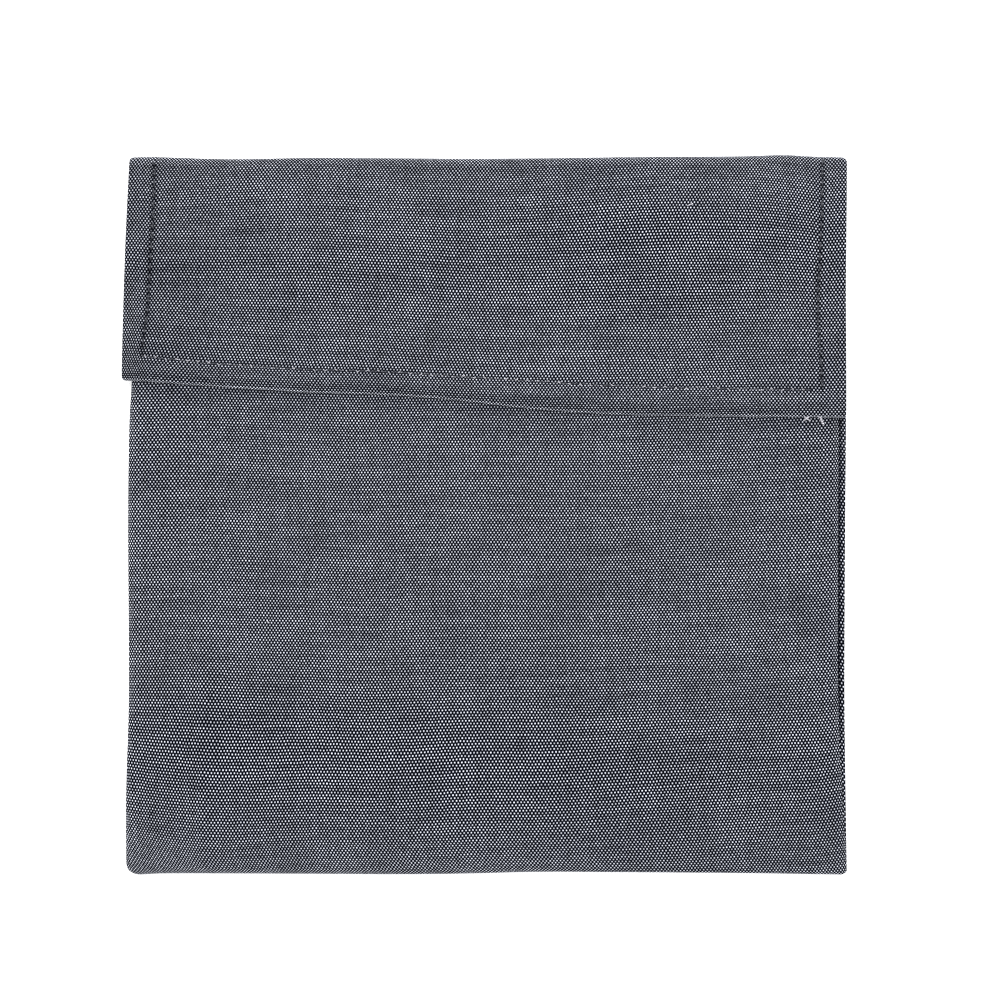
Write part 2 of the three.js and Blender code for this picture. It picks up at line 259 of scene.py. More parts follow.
# Short fibres that lie on the cloth: their place, length and turn. Then their radius in yarn widths, how high
# they rise, how deep their ends dive and how much they taper
FIBRES = (
    {"x": 51.3, "y": 77.6, "length": 1.7, "turn": 22, "on": "flap"},
    {"x": -54.1, "y": -26.6, "length": 0.9, "turn": -45, "on": "front"},
    {"x": 26.7, "y": -25.8, "length": 1.4, "turn": -56, "on": "front"},
)
FIBRE = {"radius": 0.4, "rise": 0.05, "dives": 0.2, "tapers": 0.5}

# Steps in from an edge: the rounding, the hem, the groove of its stitches and the cloth beside them
EDGE_STEPS = (
    0, 0.06, 0.25, 0.45, 0.75, 1.4, 2.3, 3.3, 4.3, 5.0, 5.4, 5.7, 6.0, 6.3, 6.6, 7.0, 7.6, 8.4, 9.3,
)
STITCHED_STEP = EDGE_STEPS.index(6.0)
FOLD_STEPS = (0, 0.6, 1.4, 2.6)

# Rows of the flap's lower edge in which the cloth turns under, and how much cloth lies there for what shows
TURNED_ROWS = EDGE_STEPS.index(0.45) + 1
TURNED_CLOTH = 1.5

# Counts of the grids' rows and columns, of a tube's sections and sides, and of the steps in a sum
MIDDLE_COLUMNS = 186
FRONT_ROWS = 34
BACK_ROWS = 20
FLAP_ROWS = 58
FOLD_ROWS = 13
SEAM_ROWS = 40
SEAM_COLUMNS = 5
TUBE_SECTIONS = 7
THREAD_SIDES = 8
YARN_SIDES = 7
SUM_STEPS = 4000
OUTLINE_STEPS = 400

# How far a sum goes on past a table's ends, as a share of its length, and the thickness in metres below which
# an edge is closed
PAST_TABLE = 0.2
CLOSED = 1e-9

# Seeds of the stitches' and of the white yarn's random draws
STITCH_SEED = 7
YARN_SEED = 11

# The weave's noises, by the metre: how the yarns stray, how tones change along a pick or an end and from one
# to the next, and how cloudy the whole is
STRAY = {"scale": 420.0, "gain": 4.0}
PICK_TONE = {"along": 45.0, "step": 7.3}
END_TONE = {"along": 60.0, "step": 5.7}
CLOUD = {"scale": 70.0, "detail": 3.0}

# Roundness of a float across the ends and across the picks, and how the second grows with the picks' spread
FLOAT_ROUNDNESS = {"end": 0.8, "pick": 2.3, "spread": 1.6}

# What the floats' brightness follows: a measure's low and high value, and the brightness at either. The
# groove's and hole's rows are painted shade
TONES = {
    "pick": (0.25, 0.75, 0.78, 1.2),
    "end": (0.25, 0.75, 0.9, 1.08),
    "cloud": (0.3, 0.7, 0.93, 1.13),
    "spread": (0.7, 1.3, 0.78, 1.18),
    "groove": (0.0, 1.0, 1.0, 0.5),
    "hole": (0.0, 1.0, 1.0, 0.05),
}
WARP_TONE = (0.25, 0.75, 0.5, 1.6)

# Painted shade in a needle hole's spot and in the groove along the stitches, in half widths of the hole: how
# many count for a stitch along the line, where the spot is full and gone, and where the groove's shade is
# gone
NEEDLE_HOLE = {"stitch": 4.4, "full": 0.6, "gone": 1.6}
GROOVE_GONE = 4.6

# Twist of a yarn: plies, hairs along it by the metre and around it by the turn, and the painted shade of
# hollows and painted highlight of tops
TWIST = {"plies": 2.0, "hairs_along": 9000.0, "hairs_around": 6.0, "hair_detail": 2.0, "shade": (0.3, 1.5)}

# Finishes: strength of the relief, roughness in the hollows and on top, and shine. A yarn's finish also has
# the length of a turn, the fuzz and the height of the relief
CLOTH_FINISH = {"bump": 0.6, "roughness": (0.97, 0.82), "shine": 0.02}
THREAD_FINISH = {"bump": 0.7, "roughness": (0.9, 0.7), "shine": 0.25, "lay": 0.9, "fuzz": 1.2, "relief": 0.05}
YARN_FINISH = {**THREAD_FINISH, "lay": 0.7, "fuzz": 0.8}
WHITE = (1.0, 1.0, 1.0, 1.0)


def length_property(name, description, millimetres):
    return FloatProperty(
        name=name, description=description, default=millimetres * MM, min=0.0, unit="LENGTH", precision=5
    )


def share_property(name, description, default):
    return FloatProperty(
        name=name, description=description, default=default, min=0.0, max=1.0, subtype="FACTOR"
    )


def strength_property(name, description, default):
    return FloatProperty(name=name, description=description, default=default, min=0.0)


def colour_property(name, description, default):
    return FloatVectorProperty(
        name=name, description=description, default=default, size=3, min=0.0, max=1.0, subtype="COLOR"
    )


class BagClothSettings(bpy.types.PropertyGroup):
    """Sizes of the cloth, its hems and seams, and the space between its layers"""

    cloth: length_property("Cloth", "Thickness of one layer", 1.0)
    hem: length_property("Hem", "Thickness where the edge is turned under", 1.6)
    stitched_hem: length_property("Stitched hem", "Thickness in the line of stitches", 0.9)
    layer_gap: length_property("Layer gap", "Space between layers that lie on each other", 0.4)
    seam_gap: length_property("Seam gap", "Space between front and back beside the seams", 0.12)
    pocket_swell: length_property("Pocket swell", "How much further the front stands off in the middle", 0.7)
    fold_sink: length_property("Fold sink", "How far the flap sinks between the mouth and the top fold", 0.8)
    half_width: length_property("Half width", "Half the bag's width, before its edges' unevenness", 90.0)
    mouth: length_property("Mouth", "How far the mouth lies above the bag's middle", 75.0)
    hem_width: length_property("Hem width", "From an edge to its line of stitches", 6.0)
    groove: length_property("Groove", "Half the width of the groove along the stitches", 0.8)
    seam_allowance: length_property("Seam allowance", "Width of the edges turned inside at a side seam", 5.0)
    seam_inset: length_property("Seam inset", "How far the allowance stays inside the front's edge", 0.3)
    seam_roll: length_property("Seam roll", "Width over which the front rolls down to a side seam", 8.0)
    edge_roll: length_property("Edge roll", "Width over which the front's side edge rounds off", 1.6)
    left_edge_cloth: length_property("Left edge cloth", "Cloth hidden in the left edge's rounding", 0.75)
    right_edge_cloth: length_property("Right edge cloth", "Cloth hidden in the right edge's rounding", 0.55)
    flap_edge_thin: length_property("Flap edge thinning", "How much thinner the flap's lower edge is", 1.15)
    flap_edge_reach: length_property("Flap edge reach", "Width over which the flap thins to that edge", 2.5)
    stitch_pull: length_property("Stitch pull", "How far the side stitches pull the weft down", 0.65)
    pull_reach: length_property("Pull reach", "How far to either side that pull is felt", 2.5)
    low_pull: share_property("Low pull", "Share of that pull that is left at the flap's lower stitches", 0.4)
    hem_squeeze: share_property("Hem squeeze", "How much closer the picks lie in the lower hem", 0.13)
    fold_slip: length_property("Fold slip", "How far round a fold the warp keeps its lean", 5.0)
    bottom_left_corner: length_property("Bottom left corner", "Radius of that corner", 3.0)
    bottom_right_corner: length_property("Bottom right corner", "Radius of that corner", 1.2)
    top_left_corner: length_property("Top left corner", "Radius of that corner", 0.25)
    top_right_corner: length_property("Top right corner", "Radius of that corner", 0.7)
    flap_left_corner: length_property("Flap left corner", "Radius of the flap's lower left corner", 1.0)
    flap_right_corner: length_property("Flap right corner", "Radius of the flap's lower right corner", 0.6)


class BagWeaveSettings(bpy.types.PropertyGroup):
    """Spacing and colours of the woven yarns"""

    end: length_property("End", "Space between two ends of the warp", 0.41)
    pick: length_property("Pick", "Space between two picks of the weft", 0.615)
    relief: length_property("Relief", "Height of the floats above the hollows between them", 0.12)
    wander: length_property("Wander", "How far the yarns stray from their even places", 0.06)
    warp_colour: colour_property("Warp", "Colour of the dark ends", (0.001, 0.0014, 0.0045))
    weft_colour: colour_property("Weft", "Colour of the white picks on top", (0.955, 0.965, 1.0))
    # The picks' sides are bluer and darker than their tops: blue fibres from the dyed warp and painted shade
    # where the float dips
    weft_side_shade_colour: colour_property("Weft sides", "Colour of the picks beside the top", (0.71, 0.785, 1.0))
    # The needle hole's dark spot is painted shade
    needle_hole: length_property("Needle hole", "Half the width of the dark hole at a stitch's end", 0.3)
    unevenness: share_property("Unevenness", "How much the floats differ in brightness", 0.48)


class BagSewingSettings(bpy.types.PropertyGroup):
    """Sizes and colours of the stitches and of the loose yarn ends"""

    stitch: length_property("Stitch", "From one needle hole to the next", 2.65)
    thread: length_property("Thread", "Thickness of the sewing thread at the flap's sides", 0.45)
    lower_thread: length_property("Lower thread", "Thickness that shows of it at the flap's lower edge", 0.34)
    fleck: length_property("Fleck", "Length of the white yarn pulled up at a needle hole", 0.62)
    yarn: length_property("Yarn", "Thickness of the white yarn", 0.38)
    thread_colour: colour_property("Thread colour", "Colour of the sewing thread", (0.07, 0.073, 0.088))
    yarn_colour: colour_property("Yarn colour", "Colour of the undyed yarn", (0.68, 0.67, 0.73))


class BagStageSettings(bpy.types.PropertyGroup):
    """The floor, the light and the camera"""

    view_width: length_property("View width", "Width of the picture at the cloth", 250.0)
    view_across: length_property("View across", "How far the camera stands right of the bag's middle", 3.82)
    view_along: length_property("View along", "How far the camera stands above the bag's middle", 3.88)
    lens: length_property("Lens", "Focal length of the camera", 200.0)
    floor_width: length_property("Floor width", "Width of the square floor", 6000.0)
    floor_colour: colour_property("Floor", "Colour of the plain floor", (0.94, 0.94, 0.94))
    glow: strength_property("Glow", "Light that comes up through the floor", 0.45)
    sky: strength_property("Sky", "Strength of the even light from all around", 0.935)
    key: strength_property("Key", "Power of the soft light from above the top fold", 6.1)
    key_width: length_property("Key width", "Width of that light", 800.0)
    key_along: length_property("Key along", "How far that light stands beyond the bag's middle", 750.0)
    key_height: length_property("Key height", "How high that light stands over the floor", 650.0)


def smooth_step(value, low, high):
    share = np.clip((value - low) / (high - low), 0.0, 1.0)
    return share * share * (3.0 - 2.0 * share)


def blend_of(first, second, share):
    return first + (second - first) * share


def bell(value, width):
    return np.exp(-((value / width) ** 2))


def curve_through(places, values, at):
    """A smooth curve through a table's rows, level with their neighbours' slopes and held past both ends."""
    places = np.asarray(places, float)
    values = np.asarray(values, float)
    slopes = np.gradient(values, places)
    slopes[1:-1] = (values[2:] - values[:-2]) / (places[2:] - places[:-2])
    at = np.clip(at, places[0], places[-1])
    row = np.clip(np.searchsorted(places, at) - 1, 0, len(places) - 2)
    step = places[row + 1] - places[row]
    t = (at - places[row]) / step
    ease = t * t * (3.0 - 2.0 * t)
    start = t * (1.0 - t) ** 2 * step * slopes[row]
    end = t * t * (t - 1.0) * step * slopes[row + 1]
    return blend_of(values[row], values[row + 1], ease) + start + end


def across(column, x):
    return curve_through(ACROSS["x"], ACROSS[column], x / MM) * MM


def along(column, y):
    return curve_through(ALONG["y"], ALONG[column], y / MM) * MM


def side_hem(side, y):
    return curve_through(SIDE_HEMS["y"], SIDE_HEMS[side], y / MM) * MM


def running_sum(places, rate, zero):
    """Function that sums a rate along a table's places, from a given place and a little past both ends."""
    past = PAST_TABLE * (places[-1] - places[0])
    fine = np.linspace(places[0] - past, places[-1] + past, SUM_STEPS)
    rates = rate(fine)
    steps = np.diff(fine) * (rates[1:] + rates[:-1]) / 2.0
    total = np.concatenate([[0.0], np.cumsum(steps)])
    total = total - np.interp(zero, fine, total)
    return lambda place: np.interp(place, fine, total)


def lean_sum(places, leans, zero):
    return running_sum(places, lambda fine: np.tan(np.radians(curve_through(places, leans, fine))), zero)


def count_sum(places, spaces, even, zero):
    return running_sum(places, lambda fine: even / curve_through(places, spaces, fine), zero)


def corner_inset(distance, radius):
    """How far a rounded corner draws the side edge in, by the distance from the line that ends the edge."""
    short = radius - np.clip(distance, 0.0, radius)
    return radius - np.sqrt(radius**2 - short**2)


def broad_swell(share):
    """Rises from 0 at both ends to 1, with a broad flat middle."""
    return 1.0 - (2.0 * np.clip(share, 0.0, 1.0) - 1.0) ** 4


def way_between(value, start, end):
    return np.clip((value - start) / (end - start), 0.0, 1.0)


class Places:
    """Places along a run: given steps in from its start and its end, and even steps between."""

    def __init__(self, start_steps, middle_count, end_steps):
        start = np.asarray(start_steps, float) * MM
        end = np.asarray(end_steps, float) * MM
        middle = np.arange(1, middle_count + 1) / (middle_count + 1)
        self.share = np.concatenate([np.zeros(len(start)), middle, np.ones(len(end))])
        self.offset = np.concatenate([start, blend_of(start[-1], -end[-1], middle), -end[::-1]])

    def as_columns(self):
        self.share = self.share[:, None]
        self.offset = self.offset[:, None]
        return self

    def between(self, start, end, stretch=1.0):
        return blend_of(start, end, self.share) + self.offset * stretch * np.sign(end - start)


class BagForm:
    """Where each layer of the closed, empty bag lies, worked out from its sizes and tables."""

    def __init__(self, sizes, stitch):
        self.sizes = sizes
        self.stitch = stitch
        self.columns = Places(EDGE_STEPS, MIDDLE_COLUMNS, EDGE_STEPS).as_columns()
        self.nominal_x = self.columns.between(-sizes.half_width, sizes.half_width)
        self.shift = self.shift_to_frame()

    def shift_to_frame(self):
        """From the tables' origin to the frame's, with both boxes' middles in one place."""
        low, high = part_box("bag")
        y = np.linspace(-1.0, 1.0, OUTLINE_STEPS) * self.sizes.half_width
        left = np.minimum(along("left", y), np.where(y > 0.0, along("flap_left", y), 0.0)).min()
        right = np.maximum(along("right", y), along("flap_right", y)).max()
        bottom = across("bottom_fold", y).min()
        top = across("top_fold", y).max()
        return np.array([(low.x + high.x - left - right) / 2.0, (low.y + high.y - bottom - top) / 2.0, low.z])

    def front_edges(self, y):
        return along("left", y), along("right", y) - along("back_shows", y)

    def back_edges(self, y):
        return along("left", y), along("right", y)

    def flap_edges(self, y):
        return along("flap_left", y), along("flap_right", y)

    def with_corners(self, edges, distance, corners):
        """Both side edges, drawn in by the two rounded corners at a distance from the line that ends them."""
        left, right = edges
        left_radius = getattr(self.sizes, f"{corners}_left_corner")
        right_radius = getattr(self.sizes, f"{corners}_right_corner")
        return left + corner_inset(distance, left_radius), right - corner_inset(distance, right_radius)

    def wave(self, x, y):
        height = 0.0
        for wave in WAVES:
            turn = x / MM / wave["across"] + y / MM / wave["along"]
            height = height + wave["height"] * MM * np.sin(2.0 * math.pi * turn + wave["phase"])
        return height

    def front_base(self, x, y):
        """Height of the front's lower face."""
        sizes = self.sizes
        left, right = self.front_edges(y)
        bottom = across("bottom_fold", x)
        roll = smooth_step(np.minimum(x - left, right - x), 0.0, sizes.seam_roll)
        swell = broad_swell((x - left) / (right - left)) * broad_swell((y - bottom) / (sizes.mouth - bottom))
        gap = blend_of(sizes.seam_gap, sizes.layer_gap, roll)
        return sizes.cloth + gap + sizes.pocket_swell * swell + roll * self.wave(x, y)

    def flap_base(self, x, y):
        """Height of the flap's lower face, which follows the front, rises on its hem and sinks past it."""
        sizes = self.sizes
        rise_start = sizes.mouth - HEM_RISE * sizes.hem_width
        rise = (sizes.hem - sizes.cloth) * smooth_step(y, rise_start, sizes.mouth - sizes.hem_width)
        sink = sizes.fold_sink * smooth_step(y, sizes.mouth, across("top_fold", x))
        return self.front_base(x, np.minimum(y, sizes.mouth)) + sizes.cloth + sizes.layer_gap + rise - sink

    def unpressed_hem(self, inside):
        """Thickness of a hemmed edge and the cloth past it, without the stitches' groove."""
        sizes = self.sizes
        start = sizes.hem_width - sizes.groove
        end = sizes.hem_width + HEM_GROOVE["past"] * sizes.groove
        return blend_of(sizes.hem, sizes.cloth, smooth_step(inside, start, end))

    def hem_thickness(self, inside, stitch_place=None):
        """Thickness of a hemmed edge: full in the hem, pressed in at the stitches and plain past them."""
        sizes = self.sizes
        from_line = inside - sizes.hem_width
        press = self.unpressed_hem(sizes.hem_width) - sizes.stitched_hem
        press = press * bell(from_line, HEM_GROOVE["width"] * sizes.groove)
        if stitch_place is not None:
            swing = HEM_GROOVE["swing"] * np.cos(2.0 * math.pi * stitch_place / self.stitch)
            press = press * (HEM_GROOVE["press"] + swing)
        puff = HEM_PUFF["height"] * bell(from_line - HEM_PUFF["place"] * sizes.groove, sizes.groove)
        from_crown = inside - HEM_CROWN["place"] * sizes.hem_width
        crown = HEM_CROWN["height"] * bell(from_crown, HEM_CROWN["width"] * sizes.hem_width)
        return self.unpressed_hem(inside) - press + (puff + crown) * sizes.cloth

    def round_share(self, distance, width):
        """Share of the thickness that is left near a rounded edge, where the two faces meet."""
        reach = np.clip(distance / width, 0.0, 1.0)
        return np.sqrt(1.0 - (1.0 - reach) ** 2)

    def rounded(self, thickness, distance):
        """Thickness near an edge that is a half round."""
        return thickness * self.round_share(distance, 0.5 * thickness)

    def fold(self, line, base, thickness, outward):
        """A fold's outer line, the radius, place and height of its turn, and its thickness."""
        radius = base / 2.0
        return {
            "line": line,
            "radius": radius,
            "y": line - outward * (radius + thickness / 2.0),
            "z": thickness / 2.0 + radius,
            "thickness": thickness,
        }

    def bottom_fold(self):
        x = self.nominal_x
        line = across("bottom_fold", x)
        return self.fold(line, self.front_base(x, line), np.full_like(x, self.sizes.cloth), -1.0)

    def top_fold(self):
        x = self.nominal_x
        line = across("top_fold", x)
        left, right = self.flap_edges(line)
        thickness = self.hem_thickness(np.maximum(0.0, np.minimum(x - left, right - x)))
        return self.fold(line, self.flap_base(x, line), thickness, 1.0)

    def front_run(self):
        sizes = self.sizes
        fold = self.bottom_fold()
        y = Places(EDGE_STEPS, FRONT_ROWS, FOLD_STEPS).between(sizes.mouth, fold["y"])
        left, right = self.with_corners(self.front_edges(y), y - fold["line"], "bottom")
        x = self.columns.between(left, right)
        thickness = self.hem_thickness(sizes.mouth - y)
        z = self.front_base(x, y) + thickness / 2.0
        side_share = self.round_share(np.minimum(x - left, right - x), sizes.edge_roll)
        thickness = np.minimum(self.rounded(thickness, sizes.mouth - y), thickness * side_share)
        return self.run(x, y, z, 90.0, thickness)

    def back_run(self):
        sizes = self.sizes
        bottom = self.bottom_fold()
        top = self.top_fold()
        y = Places(FOLD_STEPS, BACK_ROWS, FOLD_STEPS).between(bottom["y"], top["y"])
        edges = self.with_corners(self.back_edges(y), y - bottom["line"], "bottom")
        left, right = self.with_corners(edges, top["line"] - y, "top")
        x = self.columns.between(left, right)
        inside = np.minimum(x - left, right - x)
        hem_share = smooth_step(y, sizes.mouth - sizes.hem_width, sizes.mouth + sizes.hem_width)
        thickness = blend_of(sizes.cloth, self.hem_thickness(inside), hem_share)
        raised = hem_share * (inside < sizes.hem_width)
        level = np.maximum(thickness, blend_of(sizes.cloth, sizes.hem, raised))
        return self.run(x, y, level / 2.0, 270.0, self.rounded(thickness, inside))

    def flap_run(self):
        sizes = self.sizes
        fold = self.top_fold()
        edge = across("flap_edge", self.nominal_x)
        hem_stretch = across("lower_hem", self.nominal_x) / sizes.hem_width
        y = Places(FOLD_STEPS, FLAP_ROWS, EDGE_STEPS).between(fold["y"], edge, hem_stretch)
        edges = self.with_corners(self.flap_edges(y), fold["line"] - y, "top")
        left, right = self.with_corners(edges, y - edge, "flap")
        left_stretch = side_hem("left", y) / sizes.hem_width
        right_stretch = side_hem("right", y) / sizes.hem_width
        x = self.columns.between(left, right, blend_of(left_stretch, right_stretch, self.columns.share))
        beside = np.minimum((x - left) / left_stretch, (right - x) / right_stretch)
        above = (y - edge) / hem_stretch
        inside = np.minimum(beside, above)
        thickness = self.hem_thickness(inside, np.where(beside < above, y, x))
        near_edge = 1.0 - smooth_step(above, 0.0, sizes.flap_edge_reach)
        thickness = thickness - sizes.flap_edge_thin * near_edge
        z = self.flap_base(x, y) + thickness / 2.0 - EDGE_SINK * sizes.layer_gap * near_edge
        return self.run(x, y, z, 90.0, self.rounded(thickness, inside))

    def fold_run(self, fold, start, edges_at, corners):
        """A half turn of the cloth, without its two ends."""
        looks = start + 180.0 * np.arange(1, FOLD_ROWS + 1)[None, :] / (FOLD_ROWS + 1)
        outward = np.cos(np.radians(looks))
        upward = np.sin(np.radians(looks))
        y = fold["y"] + fold["radius"] * outward
        to_line = np.abs(fold["line"] - y - fold["thickness"] / 2.0 * outward)
        left, right = self.with_corners(edges_at(y), to_line, corners)
        x = self.columns.between(left, right)
        thickness = self.rounded(fold["thickness"] + np.zeros_like(y), np.minimum(x - left, right - x))
        return self.run(x, y, fold["z"] + fold["radius"] * upward, looks, thickness)

    def run(self, x, y, z, looks, thickness):
        """One run of the cloth's middle: its points, the direction its outer face looks and its thickness."""
        looks = np.radians(looks + np.zeros_like(x))
        outlook = np.stack([np.zeros_like(x), np.cos(looks), np.sin(looks)], axis=-1)
        middle = np.stack(np.broadcast_arrays(x, y, z), axis=-1)
        return {"middle": middle, "outlook": outlook, "thickness": thickness}

    def strip(self):
        """The whole strip, from the mouth edge to the flap's lower edge, as runs in order."""
        return {
            "front": self.front_run(),
            "bottom": self.fold_run(self.bottom_fold(), 90.0, self.front_edges, "bottom"),
            "back": self.back_run(),
            "top": self.fold_run(self.top_fold(), 270.0, self.flap_edges, "top"),
            "flap": self.flap_run(),
        }

    def seam(self, side):
        """A side seam's allowance, which fills the space between the middles of front and back."""
        sizes = self.sizes
        bottom = across("bottom_fold", side * sizes.half_width)
        y = np.linspace(sizes.mouth - sizes.cloth / 2.0, bottom + sizes.cloth / 2.0, SEAM_ROWS)[None, :]
        left, right = self.with_corners(self.front_edges(y), y - bottom, "bottom")
        inset = np.linspace(sizes.seam_inset, sizes.seam_inset + sizes.seam_allowance, SEAM_COLUMNS)[:, None]
        x = left + inset if side < 0 else right - inset[::-1]
        thickness = self.front_base(x, y)
        return self.run(x, y, (sizes.cloth + thickness) / 2.0, 90.0, thickness)


def bag_form(scene):
    return BagForm(scene.bag_cloth, scene.bag_sewing.stitch)


def joined(runs, part):
    return np.concatenate([run[part] for run in runs.values()], axis=1)


def run_starts(runs):
    """The strip's row where each run starts, and the row past its last."""
    return np.cumsum([0, *(run["thickness"].shape[1] for run in runs.values())])


def plan(run):
    """X and Y of a run's points."""
    return np.moveaxis(run["middle"][..., :2], -1, 0)


class WovenPlaces:
    """Where each point lies on the woven cloth: U counts along the weft and V along the warp, in metres."""

    def __init__(self, form, weave):
        self.form = form
        end = weave.end / MM
        pick = weave.pick / MM
        mouth = form.sizes.mouth / MM
        rows = FRONT_WEAVE["y"]
        shares = FLAP_LEAN["share"]
        pick_sides = [FRONT_WEAVE[side] for side in ("left_pick", "right_pick")]
        lean_sides = [FRONT_WEAVE[side] for side in ("left_lean", "right_lean")]
        flap_edge = ACROSS["flap_edge"][-1]
        self.front_down = [count_sum(rows, picks, pick, mouth) for picks in pick_sides]
        self.front_across = count_sum(FRONT_ENDS["x"], FRONT_ENDS["end"], end, 0.0)
        self.front_leans = [lean_sum(rows, leans, flap_edge) for leans in lean_sides]
        self.flap_down = count_sum(FLAP_PICKS["down"], FLAP_PICKS["pick"], pick, 0.0)
        flap_rows = [FLAP_ENDS[row] for row in ("high", "half", "low")]
        self.flap_across = [count_sum(FLAP_ENDS["x"], spaces, end, 0.0) for spaces in flap_rows]
        self.flap_leans = [lean_sum(shares, FLAP_LEAN[side], 0.0) for side in ("left", "right")]
        levels = (*FRONT_LEVELS, *FLAP_LEVELS)
        self.rises = {level: lean_sum(WEFT_SLOPES["x"], WEFT_SLOPES[level], 0.0) for level in levels}
        self.bottom_picks = [pick / picks[0] for picks in pick_sides]
        self.bottom_leans = [leans[0] for leans in lean_sides]
        self.top_pick = pick / FLAP_PICKS["pick"][0]
        self.top_leans = [FLAP_LEAN[side][0] for side in ("left", "right")]

    def rise(self, levels, x, place):
        """How far the weft has risen from the bag's middle to X, between the levels' own slopes."""
        names = list(levels)
        total = self.rises[names[0]](x)
        for lower, upper in zip(names, names[1:]):
            share = smooth_step(place, levels[lower], levels[upper])
            total = total + (self.rises[upper](x) - self.rises[lower](x)) * share
        return total

    def on_front(self, x, y):
        left, right = self.form.front_edges(y)
        to_right = smooth_step(way_between(x, left, right), *LEAN_CHANGE)
        x, y = x / MM, y / MM
        corner = PULLED_CORNER
        below = corner["y"] - corner["fall"] * (x - corner["x"]) - y
        pulled = (below + np.hypot(below, corner["soft"])) / 2.0
        slip = blend_of(self.front_leans[0](y), self.front_leans[1](y), to_right)
        for fan in FRONT_FANS:
            grown = way_between(x, fan["start"], fan["end"])
            slip = slip + math.tan(math.radians(fan["lean"])) * grown * np.minimum(0.0, y - fan["below"])
        u = self.front_across(x) - slip - corner["ends"] * pulled
        row = y - self.rise(FRONT_LEVELS, x, y)
        down = blend_of(self.front_down[0](row), self.front_down[1](row), smooth_step(x, *PICK_CHANGE))
        return u * MM, (corner["picks"] * pulled - down) * MM

    def rolled_cloth(self, x, y):
        """How much cloth lies hidden in a side's rounding, between a place on it and the flat front."""
        sizes = self.form.sizes
        left, right = self.form.front_edges(y)
        inside = (x - left, right - x)
        near_left, near_right = (1.0 - way_between(side, 0.0, sizes.edge_roll) for side in inside)
        return sizes.right_edge_cloth * near_right**2 - sizes.left_edge_cloth * near_left**2

    def on_flap(self, x, y):
        sizes = self.form.sizes
        left, right = self.form.flap_edges(y)
        stitch_lines_x = (left + side_hem("left", y), right - side_hem("right", y))
        top = across("top_fold", x)
        lower_line = across("flap_edge", x) + across("lower_hem", x)
        share = (top - y) / (top - lower_line)
        nearness = sum(np.exp(-np.abs(x - line) / sizes.pull_reach) for line in stitch_lines_x)
        dip = sizes.stitch_pull * blend_of(1.0, sizes.low_pull, smooth_step(share, 0.0, 1.0)) * nearness
        squeeze = sizes.hem_squeeze * np.maximum(0.0, lower_line - y)
        down = (across("top_fold", np.zeros(1)) - y) / MM
        v = self.flap_down(down + self.rise(FLAP_LEVELS, x / MM, down) + (squeeze - dip) / MM)
        lean = blend_of(self.flap_leans[0](share), self.flap_leans[1](share), way_between(x, left, right))
        grown = way_between(x / MM, FLAP_CORNER["start"], FLAP_CORNER["end"])
        corner_lean = math.tan(math.radians(FLAP_CORNER["lean"])) * grown
        slip = (top - lower_line) * lean + corner_lean * np.maximum(0.0, lower_line - y)
        high, half, low = (row(x / MM) for row in self.flap_across)
        u = blend_of(blend_of(high, half, smooth_step(share, *TO_HALF)), low, smooth_step(share, *TO_LOW))
        return u * MM + slip, v * MM

    def fold_slip(self, leans, distance):
        """How far the warp has moved sideways at a distance round a fold, by its lean at the fold."""
        reach = self.form.sizes.fold_slip
        lean = np.radians(blend_of(*leans, self.form.columns.share))
        return np.tan(lean) * reach * (1.0 - np.exp(-distance / reach))

    def on_strip(self, runs):
        """Places of the whole strip and how far its picks are spread. Round the folds and over the back the
        places follow from both ends."""
        starts = run_starts(runs)
        bottom, back, top, flap = starts[1:5]
        middle = joined(runs, "middle")
        thickness = joined(runs, "thickness")
        middle_thickness = thickness[len(thickness) // 2][None, :, None]
        points = middle + joined(runs, "outlook") * middle_thickness / 2.0
        steps = np.linalg.norm(np.diff(points, axis=1), axis=-1)
        run = np.concatenate([np.zeros((len(points), 1)), np.cumsum(steps, axis=1)], axis=1)
        run = run - run[:, bottom - 1 : bottom]
        front_x, front_y = plan(runs["front"])
        front_u, front_v = self.on_front(front_x, front_y)
        rolled = self.rolled_cloth(front_x, front_y)
        flap_u, flap_v = self.on_flap(*plan(runs["flap"]))
        flap_v = flap_v - np.mean(flap_v[:, 0] - run[:, flap] - front_v[:, -1])
        turn = -TURNED_ROWS
        turned = run[:, turn:] - run[:, turn : turn + 1]
        flap_v[:, turn:] = flap_v[:, turn : turn + 1] + TURNED_CLOTH * turned
        after = run[:, bottom:flap]
        before = run[:, flap : flap + 1] - after
        share = smooth_step(after, run[:, back : back + 1], run[:, top - 1 : top])
        under_x = middle[:, bottom:flap, 0]
        unrolled = rolled[:, -1:] * np.exp(-after / self.form.sizes.edge_roll)
        from_front = under_x - front_x[:, -1:] + unrolled + self.fold_slip(self.bottom_leans, after)
        from_flap = under_x - middle[:, flap : flap + 1, 0] - self.fold_slip(self.top_leans, before)
        under_u = blend_of(front_u[:, -1:] + from_front, flap_u[:, :1] + from_flap, share)
        bottom_pick = blend_of(*self.bottom_picks, smooth_step(self.form.nominal_x / MM, *PICK_CHANGE))
        down_from_front = front_v[:, -1:] + after * bottom_pick
        up_from_flap = flap_v[:, :1] - before * self.top_pick
        under_v = blend_of(down_from_front, up_from_flap, share)
        u = np.concatenate([front_u + rolled, under_u, flap_u], axis=1)
        v = np.concatenate([front_v, under_v, flap_v], axis=1)
        length = np.gradient(run, axis=1)
        spread = length / np.maximum(np.gradient(v, axis=1), length / 2.0)
        return np.stack([u, v], axis=-1), spread


